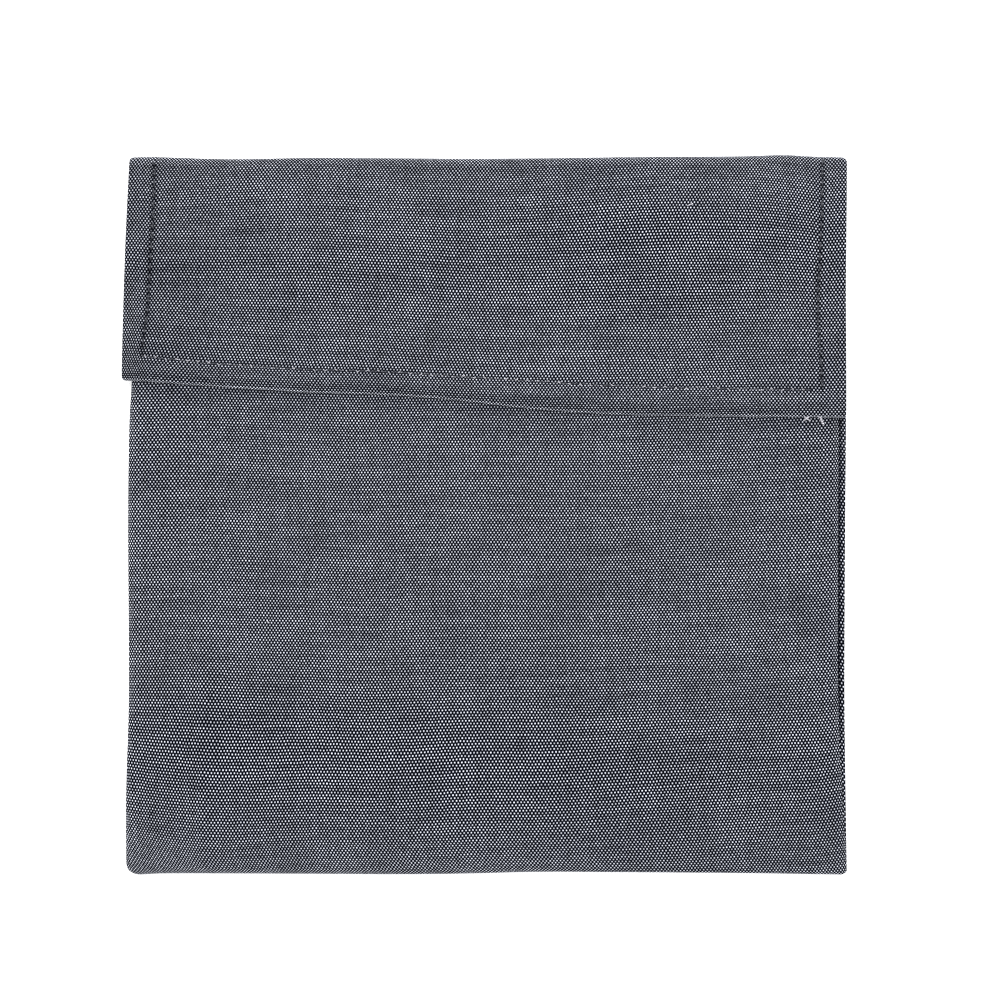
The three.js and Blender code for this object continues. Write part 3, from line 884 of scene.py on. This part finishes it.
def shade(name, distance, share=1.0):
    """Painted light at a distance from a band's line: brightness with a share of the band's gain, a painted
    highlight above 1 and painted shade below.
    """
    band = SHADES[name]
    return 1.0 + band["gain"] * share * (1.0 - smooth_step(distance / MM, band["full"], band["gone"]))


# Painted shade on the flap's left hem, left side, top fold and lower hem, and a painted highlight along its
# lower edge, on the flap's brightness as a whole
def flap_light(form, run):
    x, y = plan(run)
    edge = across("flap_edge", x)
    hem_fade = 1.0 - smooth_step(y / MM, *LEFT_HEM_FADE)
    light = FLAP_LIGHT * shade("left_hem", x - form.flap_edges(y)[0] - side_hem("left", y), hem_fade)
    light = light * shade("left_side", x) * shade("top_fold", across("top_fold", x) - y)
    return light * shade("lower_hem", y - edge - across("lower_hem", x)) * shade("flap_edge", y - edge)


# Painted shadow on the front below the flap's edge, and a painted highlight along the front's left edge
def front_light(form, run):
    x, y = plan(run)
    under_flap_shadow = blend_of(*UNDER_FLAP_SHADOW_SHARES, smooth_step(x / MM, *UNDER_FLAP_SHADOW_CHANGE))
    light = shade("under_flap_shadow", across("flap_edge", x) - y, under_flap_shadow)
    return light * shade("left_edge", x - form.front_edges(y)[0])


def patch_light(run, patches):
    x, y = plan(run) / MM
    light = 1.0
    for patch in patches:
        near = bell(x - patch["x"], patch["across"]) * bell(y - patch["y"], patch["along"])
        light = light * (1.0 - patch["loss"] * near)
    return light


# A painted highlight on a fold's rim, where it looks sideways and down, on the fold's level
def fold_light(run, level):
    return level * blend_of(RIM_LIGHT, 1.0, smooth_step(run["outlook"][..., 2], *RIM_LOOKS))


def seam_light(form, run):
    """Painted shadow in the gap between the front's right edge and the strip of the back that shows past it.
    """
    x, y = plan(run)
    strip_width = np.maximum(along("back_shows", y), SEAM_SHADOW["least_width"] * MM)
    beyond = (x - form.front_edges(y)[1]) / strip_width
    gap = (1.0 - smooth_step(beyond, *SEAM_SHADOW["ends"])) * smooth_step(y / MM, *SEAM_SHADOW["opens"])
    return np.where(x > 0.0, 1.0 - SEAM_SHADOW["loss"] * gap, 1.0)


def cloth_light(form, runs):
    """Painted shade and highlights, with the darker patches: the share of the weft's brightness that shows,
    on the points of the cloth's outer and of its inner face.
    """
    outer = {name: np.ones_like(run["thickness"]) for name, run in runs.items()}
    inner = {**outer, "back": seam_light(form, runs["back"])}
    outer["flap"] = flap_light(form, runs["flap"])
    outer["front"] = front_light(form, runs["front"])
    for name, patches in PATCHES.items():
        outer[name] = outer[name] * patch_light(runs[name], patches)
    for name, level in FOLD_LIGHT.items():
        outer[name] = fold_light(runs[name], level)
    return [np.concatenate([*face.values()], axis=1).ravel() for face in (outer, inner)]


def sewing_places(form, runs):
    """For each point its place along the nearest stitch line, in stitches, and its distance from that line,
    with the share of the full painted shade in the stitches' groove and needle holes on their line."""
    far = form.sizes.half_width
    x, y = plan(runs["flap"])
    left, right = form.flap_edges(y)
    beside = np.minimum(x - left - side_hem("left", y), right - side_hem("right", y) - x)
    above = y - across("flap_edge", form.nominal_x) - across("lower_hem", form.nominal_x)
    by_side = np.abs(beside) < np.abs(above)
    place = np.where(by_side, y, x) / form.stitch
    past_corner = np.where(by_side, above, beside) < -PAST_CORNER * form.stitch
    distance = np.where(past_corner, far, np.where(by_side, beside, above))
    left_share = smooth_step(y / MM, *LEFT_LINE_CHANGE)
    left_line_shade = blend_of(LINE_SHADE["left_low"], LINE_SHADE["left_high"], left_share)
    pull = np.where(by_side, np.where(x < 0.0, left_line_shade, LINE_SHADE["right"]), LINE_SHADE["lower"])
    unsewn = np.zeros((len(x), run_starts(runs)[-2]))
    columns = ((unsewn, place), (unsewn + far, distance), (unsewn, pull))
    place, distance, pull = (np.concatenate(column, axis=1).ravel() for column in columns)
    return np.stack([place, distance], axis=-1), pull


def shell(middle, outlook, thickness):
    """A closed sheet from a grid: its points, its faces and the grid place of each point."""
    half = outlook * thickness[..., None] / 2.0
    grid = np.arange(thickness.size).reshape(thickness.shape)
    closed = np.ones_like(grid, bool)
    closed[1:-1, 1:-1] = False
    closed &= thickness < CLOSED
    own = ~closed
    inner = grid.copy()
    inner[own] = grid.size + np.arange(own.sum())
    points = np.concatenate([(middle + half).reshape(-1, 3), (middle - half)[own]])
    source = np.concatenate([grid.ravel(), grid[own]])
    faces = []
    for layer, turn in ((grid, 1), (inner, -1)):
        corners = [layer[:-1, :-1], layer[:-1, 1:], layer[1:, 1:], layer[1:, :-1]]
        faces.extend(np.stack(corners[::turn], axis=-1).reshape(-1, 4).tolist())
    rim = np.concatenate([grid[0, :-1], grid[:-1, -1], grid[-1, :0:-1], grid[:0:-1, 0]])
    inner = inner.ravel()
    for here, there in zip(rim, np.roll(rim, -1)):
        wall = list(dict.fromkeys(int(corner) for corner in (there, here, inner[here], inner[there])))
        if len(wall) > 2:
            faces.append(wall)
    return points, faces, source


def add_piece(name, points, faces, material):
    """A smooth mesh in the frame that rides on the bag's body."""
    mesh = bpy.data.meshes.new(name)
    mesh.from_pydata(points.tolist(), [], faces)
    if mesh.validate():
        raise RuntimeError(f"{name} has faces that don't fit together")
    mesh.materials.append(material)
    mesh.shade_smooth()
    piece = bpy.data.objects.new(name, mesh)
    bpy.context.scene.collection.objects.link(piece)
    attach(piece, "root")
    return piece


def set_corner_uv(mesh, name, uv):
    layer = mesh.uv_layers.new(name=name)
    layer.uv.foreach_set("vector", uv.astype(np.float32).ravel())


def set_point_uv(mesh, name, places):
    """A UV map that gives each corner of a face the place of its point."""
    corners = np.empty(len(mesh.loops), np.int32)
    mesh.loops.foreach_get("vertex_index", corners)
    set_corner_uv(mesh, name, places[corners])


def set_point_values(mesh, name, values):
    attribute = mesh.attributes.new(name, "FLOAT", "POINT")
    attribute.data.foreach_set("value", values.astype(np.float32))


def tubes(centres, ups, radii, sides):
    """Round tubes along many short lines: points, faces and a UV for each corner, along and around."""
    count, sections, _ = centres.shape
    tangents = np.gradient(centres, axis=1)
    tangents /= np.linalg.norm(tangents, axis=-1, keepdims=True)
    normals = ups[:, None, :] - np.sum(ups[:, None, :] * tangents, -1, keepdims=True) * tangents
    normals /= np.linalg.norm(normals, axis=-1, keepdims=True)
    sideways = np.cross(tangents, normals)
    turn = 2.0 * math.pi * np.arange(sides)[:, None] / sides
    around = np.cos(turn) * normals[:, :, None, :] + np.sin(turn) * sideways[:, :, None, :]
    points = centres[:, :, None, :] + radii[..., None, None] * around
    lengths = np.linalg.norm(np.diff(centres, axis=1), axis=-1)
    run = np.concatenate([np.zeros((count, 1)), np.cumsum(lengths, axis=1)], axis=1)
    faces, uv = [], []
    for tube in range(count):
        first = tube * sections * sides
        for section in range(sections - 1):
            here = first + section * sides
            there = here + sides
            low, high = run[tube, section], run[tube, section + 1]
            for side in range(sides):
                after = (side + 1) % sides
                left, right = side / sides, (side + 1) / sides
                faces.append((here + side, here + after, there + after, there + side))
                uv.extend(((low, left), (low, right), (high, right), (high, left)))
        last = first + (sections - 1) * sides
        faces.append(tuple(range(first + sides - 1, first - 1, -1)))
        faces.append(tuple(range(last, last + sides)))
        for end in (0.0, run[tube, -1]):
            uv.extend([(end, side / sides) for side in range(sides)])
    return points.reshape(-1, 3), faces, np.array(uv)


class NodeDesk:
    """Adds nodes to a tree and joins them. An input is a plain value or another node's output."""

    def __init__(self, tree):
        self.tree = tree
        tree.nodes.clear()

    def join(self, value, socket):
        if isinstance(value, bpy.types.NodeSocket):
            self.tree.links.new(value, socket)
        else:
            socket.default_value = value

    def add(self, kind, inputs=None, **settings):
        node = self.tree.nodes.new(kind)
        for name, value in settings.items():
            setattr(node, name, value)
        for name, value in (inputs or {}).items():
            self.join(value, node.inputs[name])
        return node

    def uv(self, name):
        return self.add("ShaderNodeUVMap", uv_map=name).outputs["UV"]

    def attribute(self, name):
        return self.add("ShaderNodeAttribute", attribute_name=name).outputs["Fac"]

    def parts(self, vector):
        return self.add("ShaderNodeSeparateXYZ", {"Vector": vector}).outputs

    def vector(self, x, y):
        return self.add("ShaderNodeCombineXYZ", {"X": x, "Y": y}).outputs[0]

    def stretched(self, x, x_scale, y, y_scale):
        return self.vector(self.math("MULTIPLY", x, x_scale), self.math("MULTIPLY", y, y_scale))

    def vector_math(self, operation, first, second):
        return self.add("ShaderNodeVectorMath", {0: first, 1: second}, operation=operation).outputs[0]

    def scaled(self, vector, factor):
        return self.add("ShaderNodeVectorMath", {0: vector, "Scale": factor}, operation="SCALE").outputs[0]

    def math(self, operation, *values):
        return self.add("ShaderNodeMath", dict(enumerate(values)), operation=operation).outputs[0]

    def product(self, first, *others):
        for other in others:
            first = self.math("MULTIPLY", first, other)
        return first

    def noise(self, place, scale, detail=1.0):
        inputs = {"Vector": place, "Scale": scale, "Detail": detail}
        return self.add("ShaderNodeTexNoise", inputs, noise_dimensions="2D").outputs

    def ramp(self, value, low, high, start, end, kind="LINEAR"):
        """A value's way from low to high, turned into a way from start to end and held past both."""
        inputs = {"Value": value, "From Min": low, "From Max": high, "To Min": start, "To Max": end}
        return self.add("ShaderNodeMapRange", inputs, interpolation_type=kind).outputs["Result"]

    def mix_colour(self, share, first, second):
        node = self.add("ShaderNodeMix", {"Factor": share}, data_type="RGBA")
        colours = [socket for socket in node.inputs if socket.type == "RGBA"]
        self.join(first, colours[0])
        self.join(second, colours[1])
        return next(socket for socket in node.outputs if socket.type == "RGBA")

    def surface(self, inputs):
        shader = self.add("ShaderNodeBsdfPrincipled", inputs)
        self.add("ShaderNodeOutputMaterial", {"Surface": shader.outputs["BSDF"]})

    def yarn_surface(self, colour, height, finish, relief):
        """A dull surface whose yarns stand up by their height and are smoother on top."""
        bump = self.add("ShaderNodeBump", {"Strength": finish["bump"], "Distance": relief, "Height": height})
        self.surface(
            {
                "Base Color": colour,
                "Roughness": self.ramp(height, 0.0, 1.0, *finish["roughness"]),
                "Specular IOR Level": finish["shine"],
                "Normal": bump.outputs["Normal"],
            }
        )


def new_group(name, vectors, values, results):
    """A shader node group with named sockets, and the desk that its nodes are joined on."""
    tree = bpy.data.node_groups.new(name, "ShaderNodeTree")
    for socket in vectors:
        tree.interface.new_socket(name=socket, in_out="INPUT", socket_type="NodeSocketVector")
    for socket in values:
        tree.interface.new_socket(name=socket, in_out="INPUT", socket_type="NodeSocketFloat")
    for socket in results:
        tree.interface.new_socket(name=socket, in_out="OUTPUT", socket_type="NodeSocketFloat")
    desk = NodeDesk(tree)
    return desk, desk.add("NodeGroupInput").outputs


def plain_weave_group():
    """Floats of a plain weave: where the weft lies on top, how high the yarns stand and how they differ."""
    names = ("Weft", "Height", "Float tone", "Pick tone", "End tone")
    desk, given = new_group("plain_weave", ["Place"], ["End", "Pick", "Wander", "Spread"], names)
    stray = desk.vector_math("SUBTRACT", desk.noise(given["Place"], STRAY["scale"])["Color"], (0.5, 0.5, 0.5))
    stray = desk.scaled(stray, desk.math("MULTIPLY", given["Wander"], STRAY["gain"]))
    place = desk.parts(desk.vector_math("ADD", given["Place"], stray))
    ends = desk.math("DIVIDE", place["X"], given["End"])
    picks = desk.math("DIVIDE", place["Y"], given["Pick"])
    end_number = desk.math("ROUND", ends)
    pick_number = desk.math("ROUND", picks)
    end_wave = desk.math("COSINE", desk.math("MULTIPLY", ends, math.pi))
    pick_wave = desk.math("COSINE", desk.math("MULTIPLY", picks, math.pi))
    weft_on_top = desk.math("SIGN", desk.math("MULTIPLY", end_wave, pick_wave))
    thinness = desk.math("POWER", given["Spread"], FLOAT_ROUNDNESS["spread"])
    thinness = desk.math("MULTIPLY", thinness, FLOAT_ROUNDNESS["pick"])
    end_dome = desk.math("POWER", desk.math("ABSOLUTE", end_wave), FLOAT_ROUNDNESS["end"])
    pick_dome = desk.math("POWER", desk.math("ABSOLUTE", pick_wave), thinness)
    dome = desk.math("MULTIPLY", end_dome, pick_dome)
    number = {"Vector": desk.vector(end_number, pick_number)}
    float_tone = desk.add("ShaderNodeTexWhiteNoise", number, noise_dimensions="2D").outputs["Value"]
    pick_place = desk.stretched(place["X"], PICK_TONE["along"], pick_number, PICK_TONE["step"])
    end_place = desk.stretched(end_number, END_TONE["step"], place["Y"], END_TONE["along"])
    results = {
        "Weft": desk.math("MAXIMUM", desk.math("MULTIPLY", dome, weft_on_top), 0.0),
        "Height": desk.math("SQRT", dome),
        "Float tone": float_tone,
        "Pick tone": desk.noise(pick_place, 1.0)["Fac"],
        "End tone": desk.noise(end_place, 1.0)["Fac"],
    }
    desk.add("NodeGroupOutput", results)
    return desk.tree


def twisted_yarn_group():
    """Plies of a twisted yarn, along and around it: their painted shade and highlight, and their height."""
    desk, given = new_group("twisted_yarn", ["Place"], ["Lay", "Fuzz"], ("Shade", "Height"))
    place = desk.parts(given["Place"])
    along_yarn = desk.math("DIVIDE", place["X"], given["Lay"])
    turns = desk.math("ADD", along_yarn, desk.math("MULTIPLY", place["Y"], TWIST["plies"]))
    ply = desk.math("COSINE", desk.math("MULTIPLY", turns, 2.0 * math.pi))
    hairs_place = desk.stretched(place["X"], TWIST["hairs_along"], turns, TWIST["hairs_around"])
    hairs = desk.noise(hairs_place, 1.0, TWIST["hair_detail"])["Fac"]
    fuzz = desk.math("MULTIPLY", desk.math("SUBTRACT", hairs, 0.5), given["Fuzz"])
    height = desk.math("ADD", desk.ramp(ply, -1.0, 1.0, 0.0, 1.0), fuzz)
    desk.add("NodeGroupOutput", {"Shade": desk.ramp(height, 0.0, 1.0, *TWIST["shade"]), "Height": height})
    return desk.tree


def new_material(name):
    material = bpy.data.materials.new(name)
    material.use_nodes = True
    return material, NodeDesk(material.node_tree)


def painted_stitch_shade(desk, weave):
    """Painted shade beside the stitches, from 0 to 1: in the groove along their line and in their needle
    holes.
    """
    sewn = desk.parts(desk.uv("sewing"))
    pull = desk.attribute("pull")
    aside = desk.math("DIVIDE", desk.math("ABSOLUTE", sewn["Y"]), weave.needle_hole)
    from_hole = desk.math("MULTIPLY", desk.math("PINGPONG", sewn["X"], 0.5), NEEDLE_HOLE["stitch"])
    squares = [desk.math("POWER", side, 2.0) for side in (from_hole, aside)]
    reach = desk.math("SQRT", desk.math("ADD", *squares))
    hole = desk.ramp(reach, NEEDLE_HOLE["full"], NEEDLE_HOLE["gone"], 1.0, 0.0, kind="SMOOTHSTEP")
    groove = desk.ramp(aside, 0.0, GROOVE_GONE, 1.0, 0.0)
    return desk.math("MULTIPLY", groove, pull), desk.math("MULTIPLY", hole, pull)


def chambray_material(weave):
    """Dark warp and white weft in a plain weave, with uneven picks and cloudy tone, and painted shade and
    highlights.
    """
    material, desk = new_material("chambray")
    place = desk.uv("weave")
    spread = desk.attribute("spread")
    given = {"Place": place, "End": weave.end, "Pick": weave.pick, "Wander": weave.wander, "Spread": spread}
    woven = desk.add("ShaderNodeGroup", given, node_tree=plain_weave_group()).outputs
    groove, hole = painted_stitch_shade(desk, weave)
    measures = {
        "pick": woven["Pick tone"],
        "end": woven["End tone"],
        "cloud": desk.noise(place, CLOUD["scale"], CLOUD["detail"])["Fac"],
        "spread": spread,
        "groove": groove,
        "hole": hole,
    }
    tone = desk.math("MULTIPLY", woven["Float tone"], weave.unevenness)
    tone = desk.math("ADD", tone, 1.0 - weave.unevenness / 2.0)
    # The groove and hole measures paint shade into the stitches' groove and needle holes
    tone = desk.product(tone, *(desk.ramp(measure, *TONES[name]) for name, measure in measures.items()))
    # The light attribute holds painted shade and highlights, and the darker patches
    tone = desk.product(tone, desk.attribute("light"))
    # The weft's sides take a bluer, darker colour: blue fibres and painted shade
    weft = desk.mix_colour(woven["Weft"], (*weave.weft_side_shade_colour, 1.0), (*weave.weft_colour, 1.0))
    warp = desk.scaled((*weave.warp_colour,), desk.ramp(woven["End tone"], *WARP_TONE))
    colour = desk.mix_colour(woven["Weft"], warp, desk.scaled(weft, tone))
    desk.yarn_surface(colour, woven["Height"], CLOTH_FINISH, weave.relief)
    return material


def yarn_material(name, colour, finish):
    """Twisted thread or yarn."""
    material, desk = new_material(name)
    group = bpy.data.node_groups.get("twisted_yarn") or twisted_yarn_group()
    given = {"Place": desk.uv("run"), "Lay": finish["lay"] * MM, "Fuzz": finish["fuzz"]}
    plies = desk.add("ShaderNodeGroup", given, node_tree=group).outputs
    # The plies' painted shade and highlight scale the yarn's colour
    colour = desk.scaled((*colour,), plies["Shade"])
    desk.yarn_surface(colour, plies["Height"], finish, finish["relief"] * MM)
    return material


def stitch_lines(form, runs):
    """The three stitch lines on the flap: points of its outer face and their outlook, by a running place."""
    outlook = joined(runs, "outlook")
    outer = joined(runs, "middle") + outlook * joined(runs, "thickness")[..., None] / 2.0
    hem_row = run_starts(runs)[-1] - 1 - STITCHED_STEP
    left_column = STITCHED_STEP
    right_column = len(outer) - 1 - STITCHED_STEP
    lines = {}
    for name, column in (("left", left_column), ("right", right_column)):
        points = outer[column, hem_row::-1]
        steps = np.linalg.norm(np.diff(points, axis=0), axis=1)
        place = np.concatenate([[0.0], np.cumsum(steps)]) + points[0, 1]
        kept = place < form.sizes.half_width + PAST_FOLD * MM
        facing = outlook[column, hem_row::-1]
        lines[name] = {"place": place[kept], "points": points[kept], "outlook": facing[kept]}
    lower = slice(left_column, right_column + 1)
    points = outer[lower, hem_row]
    lines["lower"] = {"place": points[:, 0], "points": points, "outlook": outlook[lower, hem_row]}
    return lines


def read_line(line, part, place):
    return np.stack([np.interp(place, line["place"], line[part][:, axis]) for axis in range(3)], axis=-1)


def stitch_centres(line, stitch):
    """Places of the stitches' middles on a line. Needle holes lie at whole numbers of stitches."""
    first = math.ceil(line["place"][0] / stitch)
    last = math.floor(line["place"][-1] / stitch)
    return (np.arange(first, last) + 0.5) * stitch


class BAG_OT_sew_flap(bpy.types.Operator):
    """Sew the flap's hems with a line of stitches on three sides"""

    bl_idname = "sandwich_bag.sew_flap"
    bl_label = "Sew Flap"

    def execute(self, context):
        sewing = context.scene.bag_sewing
        form = bag_form(context.scene)
        random = np.random.default_rng(STITCH_SEED)
        along_stitch = np.linspace(-1.0, 1.0, TUBE_SECTIONS)
        centres, ups, radii = [], [], []
        for name, line in stitch_lines(form, form.strip()).items():
            lower = name == "lower"
            thread = sewing.lower_thread if lower else sewing.thread
            for middle in stitch_centres(line, sewing.stitch):
                reach = STITCH["half"] * sewing.stitch * random.uniform(*STITCH["varies"])
                up = read_line(line, "outlook", np.array([middle]))[0]
                start, end = read_line(line, "points", middle + np.array([-reach, reach]))
                sideways = np.cross(end - start, up)
                sideways /= np.linalg.norm(sideways)
                on_flap = float(smooth_step(up[2], *STITCH_LOOKS))
                proud = blend_of(STITCH["sunk"], 0.0 if lower else STITCH["proud"], on_flap)
                arch = thread * (proud - STITCH["dives"] * along_stitch**4)
                aside = random.normal(0.0, STITCH["aside"] * MM)
                slant = aside + random.normal(0.0, STITCH["slant"] * MM) * along_stitch
                path = read_line(line, "points", middle + reach * along_stitch)
                path = path + arch[:, None] * up + slant[:, None] * sideways
                centres.append(path + form.shift)
                ups.append(up)
                radii.append(thread / 2.0 * (1.0 - STITCH["tapers"] * along_stitch**4))
        points, faces, uv = tubes(np.array(centres), np.array(ups), np.array(radii), THREAD_SIDES)
        material = yarn_material("sewing_thread", sewing.thread_colour, THREAD_FINISH)
        piece = add_piece("topstitching", points, faces, material)
        set_corner_uv(piece.data, "run", uv)
        return {"FINISHED"}


class BAG_OT_pull_yarn_ends(bpy.types.Operator):
    """Pull up white yarn at the needle holes and leave loose ends at the flap's lower edge"""

    bl_idname = "sandwich_bag.pull_yarn_ends"
    bl_label = "Pull Yarn Ends"

    def execute(self, context):
        sewing = context.scene.bag_sewing
        form = bag_form(context.scene)
        random = np.random.default_rng(YARN_SEED)
        bend = np.linspace(-1.0, 1.0, TUBE_SECTIONS)
        centres, radii = [], []
        line = stitch_lines(form, form.strip())["lower"]
        for hole in stitch_centres(line, sewing.stitch) - sewing.stitch / 2.0:
            middle = read_line(line, "points", np.array([hole]))[0]
            centres.append(self.fleck(middle, sewing.fleck / 2.0, random, bend))
            width = sewing.yarn * random.uniform(*FLECK["thickness"])
            radii.append(width / 2.0 * (1.0 - FLECK["tapers"] * bend**4))
        for end in YARN_ENDS:
            centres.append(self.loose_end(form, end, bend))
            radii.append(end["width"] * MM / 2.0 * (1.0 - YARN_END_TAPER * bend**4))
        for fibre in FIBRES:
            centres.append(self.fibre(form, fibre, bend))
            radii.append(FIBRE["radius"] * sewing.yarn * (1.0 - FIBRE["tapers"] * bend**4))
        ups = np.tile([0.0, 0.0, 1.0], (len(centres), 1))
        points, faces, uv = tubes(np.array(centres) + form.shift, ups, np.array(radii), YARN_SIDES)
        material = yarn_material("white_yarn", sewing.yarn_colour, YARN_FINISH)
        piece = add_piece("white_yarn_ends", points, faces, material)
        set_corner_uv(piece.data, "run", uv)
        return {"FINISHED"}

    def fleck(self, middle, half_length, random, bend):
        """A short arch of yarn beside the stitch line."""
        turn = random.normal(0.0, FLECK["turn"])
        reach = half_length * random.uniform(*FLECK["length"]) * bend
        aside = random.choice((-1.0, 1.0)) * random.uniform(*FLECK["aside"]) * MM
        x = middle[0] + reach * math.cos(turn)
        y = middle[1] + aside + reach * math.sin(turn)
        z = middle[2] + (FLECK["rise"] - FLECK["dives"] * bend**2) * MM
        return np.stack([x, y, z], axis=-1)

    def loose_end(self, form, end, bend):
        """A short end that leaves the flap's edge and comes down on the front."""
        sizes = form.sizes
        share = (bend + 1.0) / 2.0
        rows = (0.0, 0.5, 1.0)
        x = curve_through(rows, end["across"], share) * MM
        down = curve_through(rows, end["down"], share) * MM
        y = across("flap_edge", x) - down
        half = end["width"] * MM / 2.0
        on_front = form.front_base(x, y) + sizes.cloth + half
        edge_height = form.rounded(np.full_like(x, sizes.hem), np.maximum(0.0, -down)) / 2.0
        on_flap = form.flap_base(x, y) + edge_height + sizes.hem / 2.0 + half
        z = blend_of(on_flap, on_front, smooth_step(down / MM, *YARN_END_LANDS))
        return np.stack([x, y, z], axis=-1)

    def fibre(self, form, fibre, bend):
        """A short fibre on the flap or the front, half sunk at both ends."""
        reach = fibre["length"] * MM / 2.0 * bend
        turn = math.radians(fibre["turn"])
        x = fibre["x"] * MM + reach * math.cos(turn)
        y = fibre["y"] * MM + reach * math.sin(turn)
        base = form.flap_base(x, y) if fibre["on"] == "flap" else form.front_base(x, y)
        z = base + form.sizes.cloth + (FIBRE["rise"] - FIBRE["dives"] * bend**4) * MM
        return np.stack([x, y, z], axis=-1)


class BAG_OT_lay_cloth(bpy.types.Operator):
    """Lay the strip of cloth as the closed bag, with its side seams and its weave"""

    bl_idname = "sandwich_bag.lay_cloth"
    bl_label = "Lay Cloth"

    def execute(self, context):
        weave = context.scene.bag_weave
        form = bag_form(context.scene)
        runs = form.strip()
        places, spread = WovenPlaces(form, weave).on_strip(runs)
        sewing, pull = sewing_places(form, runs)
        outer_light, inner_light = cloth_light(form, runs)
        strip = {part: joined(runs, part) for part in ("middle", "outlook", "thickness")}
        points, faces, source = shell(**strip)
        strip_count = len(points)
        for side in (-1, 1):
            seam_points, seam_faces, _ = shell(**form.seam(side))
            faces.extend([[corner + len(points) for corner in face] for face in seam_faces])
            points = np.concatenate([points, seam_points])
        seams = points[strip_count:]
        hidden = np.zeros(len(seams))
        # Painted shade and highlights for each point; the seams get none
        light = np.concatenate([outer_light, inner_light[source[outer_light.size :]], hidden + 1.0])
        piece = add_piece("bag_cloth", points + form.shift, faces, chambray_material(weave))
        unsewn = np.full((len(seams), 2), form.sizes.half_width)
        set_point_uv(piece.data, "weave", np.concatenate([places.reshape(-1, 2)[source], seams[:, :2]]))
        set_point_uv(piece.data, "sewing", np.concatenate([sewing[source], unsewn]))
        # The share of the painted shade in the stitches' groove and needle holes at each point
        set_point_values(piece.data, "pull", np.concatenate([pull[source], hidden]))
        set_point_values(piece.data, "spread", np.concatenate([spread.ravel()[source], hidden + 1.0]))
        set_point_values(piece.data, "light", light)
        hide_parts("bag")
        return {"FINISHED"}


class BAG_OT_set_stage(bpy.types.Operator):
    """Set a plain pale floor, soft light and a camera straight above the bag"""

    bl_idname = "sandwich_bag.set_stage"
    bl_label = "Set Stage"

    def execute(self, context):
        scene = context.scene
        stage = scene.bag_stage
        self.add_floor(stage)
        self.add_light(scene, stage)
        self.add_camera(scene, stage, bag_form(scene))
        scene.view_settings.view_transform = "Standard"
        scene.cycles.use_denoising = False
        scene.cycles.filter_width = 1.2
        return {"FINISHED"}

    def add_floor(self, stage):
        bpy.ops.object.select_all(action="DESELECT")
        bpy.ops.mesh.primitive_plane_add(size=stage.floor_width, location=(0.0, 0.0, 0.0))
        floor = bpy.context.object
        floor.name = "floor"
        material, desk = new_material("pale_floor")
        desk.surface(
            {
                "Base Color": (*stage.floor_colour, 1.0),
                "Roughness": 0.9,
                "Specular IOR Level": 0.2,
                "Emission Color": WHITE,
                "Emission Strength": stage.glow,
            }
        )
        floor.data.materials.append(material)

    def add_light(self, scene, stage):
        world = bpy.data.worlds.new("even_sky")
        world.use_nodes = True
        sky = world.node_tree.nodes["Background"]
        sky.inputs["Color"].default_value = WHITE
        sky.inputs["Strength"].default_value = stage.sky
        scene.world = world
        light = bpy.data.lights.new("soft_key", "AREA")
        light.shape = "DISK"
        light.size = stage.key_width
        light.energy = stage.key
        key = bpy.data.objects.new("soft_key", light)
        key.location = (0.0, stage.key_along, stage.key_height)
        key.rotation_euler = (-key.location).to_track_quat("-Z", "Y").to_euler()
        scene.collection.objects.link(key)

    def add_camera(self, scene, stage, form):
        lens = bpy.data.cameras.new("camera")
        lens.lens = stage.lens / MM
        lens.clip_start = 0.01
        camera = bpy.data.objects.new("camera", lens)
        height = scene.bag_cloth.hem + stage.view_width * lens.lens / lens.sensor_width
        camera.location = Vector((stage.view_across, stage.view_along, height)) + Vector(form.shift)
        scene.collection.objects.link(camera)
        scene.camera = camera


class BAG_PT_sidebar(bpy.types.Panel):
    """Sizes, colours and steps of the sandwich bag"""

    bl_label = "Sandwich Bag"
    bl_space_type = "VIEW_3D"
    bl_region_type = "UI"
    bl_category = "Sandwich Bag"

    def draw(self, context):
        for name, settings in SETTINGS.items():
            box = self.layout.box()
            for field in settings.__annotations__:
                box.prop(getattr(context.scene, name), field)
        for step in STEPS:
            self.layout.operator(step.bl_idname)


SETTINGS = {
    "bag_cloth": BagClothSettings,
    "bag_weave": BagWeaveSettings,
    "bag_sewing": BagSewingSettings,
    "bag_stage": BagStageSettings,
}
STEPS = (BAG_OT_sew_flap, BAG_OT_pull_yarn_ends, BAG_OT_lay_cloth, BAG_OT_set_stage)


def register():
    for name, settings in SETTINGS.items():
        bpy.utils.register_class(settings)
        setattr(bpy.types.Scene, name, PointerProperty(type=settings))
    for step in (*STEPS, BAG_PT_sidebar):
        bpy.utils.register_class(step)


def unregister():
    for step in (BAG_PT_sidebar, *reversed(STEPS)):
        bpy.utils.unregister_class(step)
    for name, settings in reversed(SETTINGS.items()):
        delattr(bpy.types.Scene, name)
        bpy.utils.unregister_class(settings)


def main():
    register()
    bpy.ops.sandwich_bag.sew_flap()
    bpy.ops.sandwich_bag.pull_yarn_ends()
    bpy.ops.sandwich_bag.lay_cloth()
    bpy.ops.sandwich_bag.set_stage()


if __name__ == "__main__":
    main()
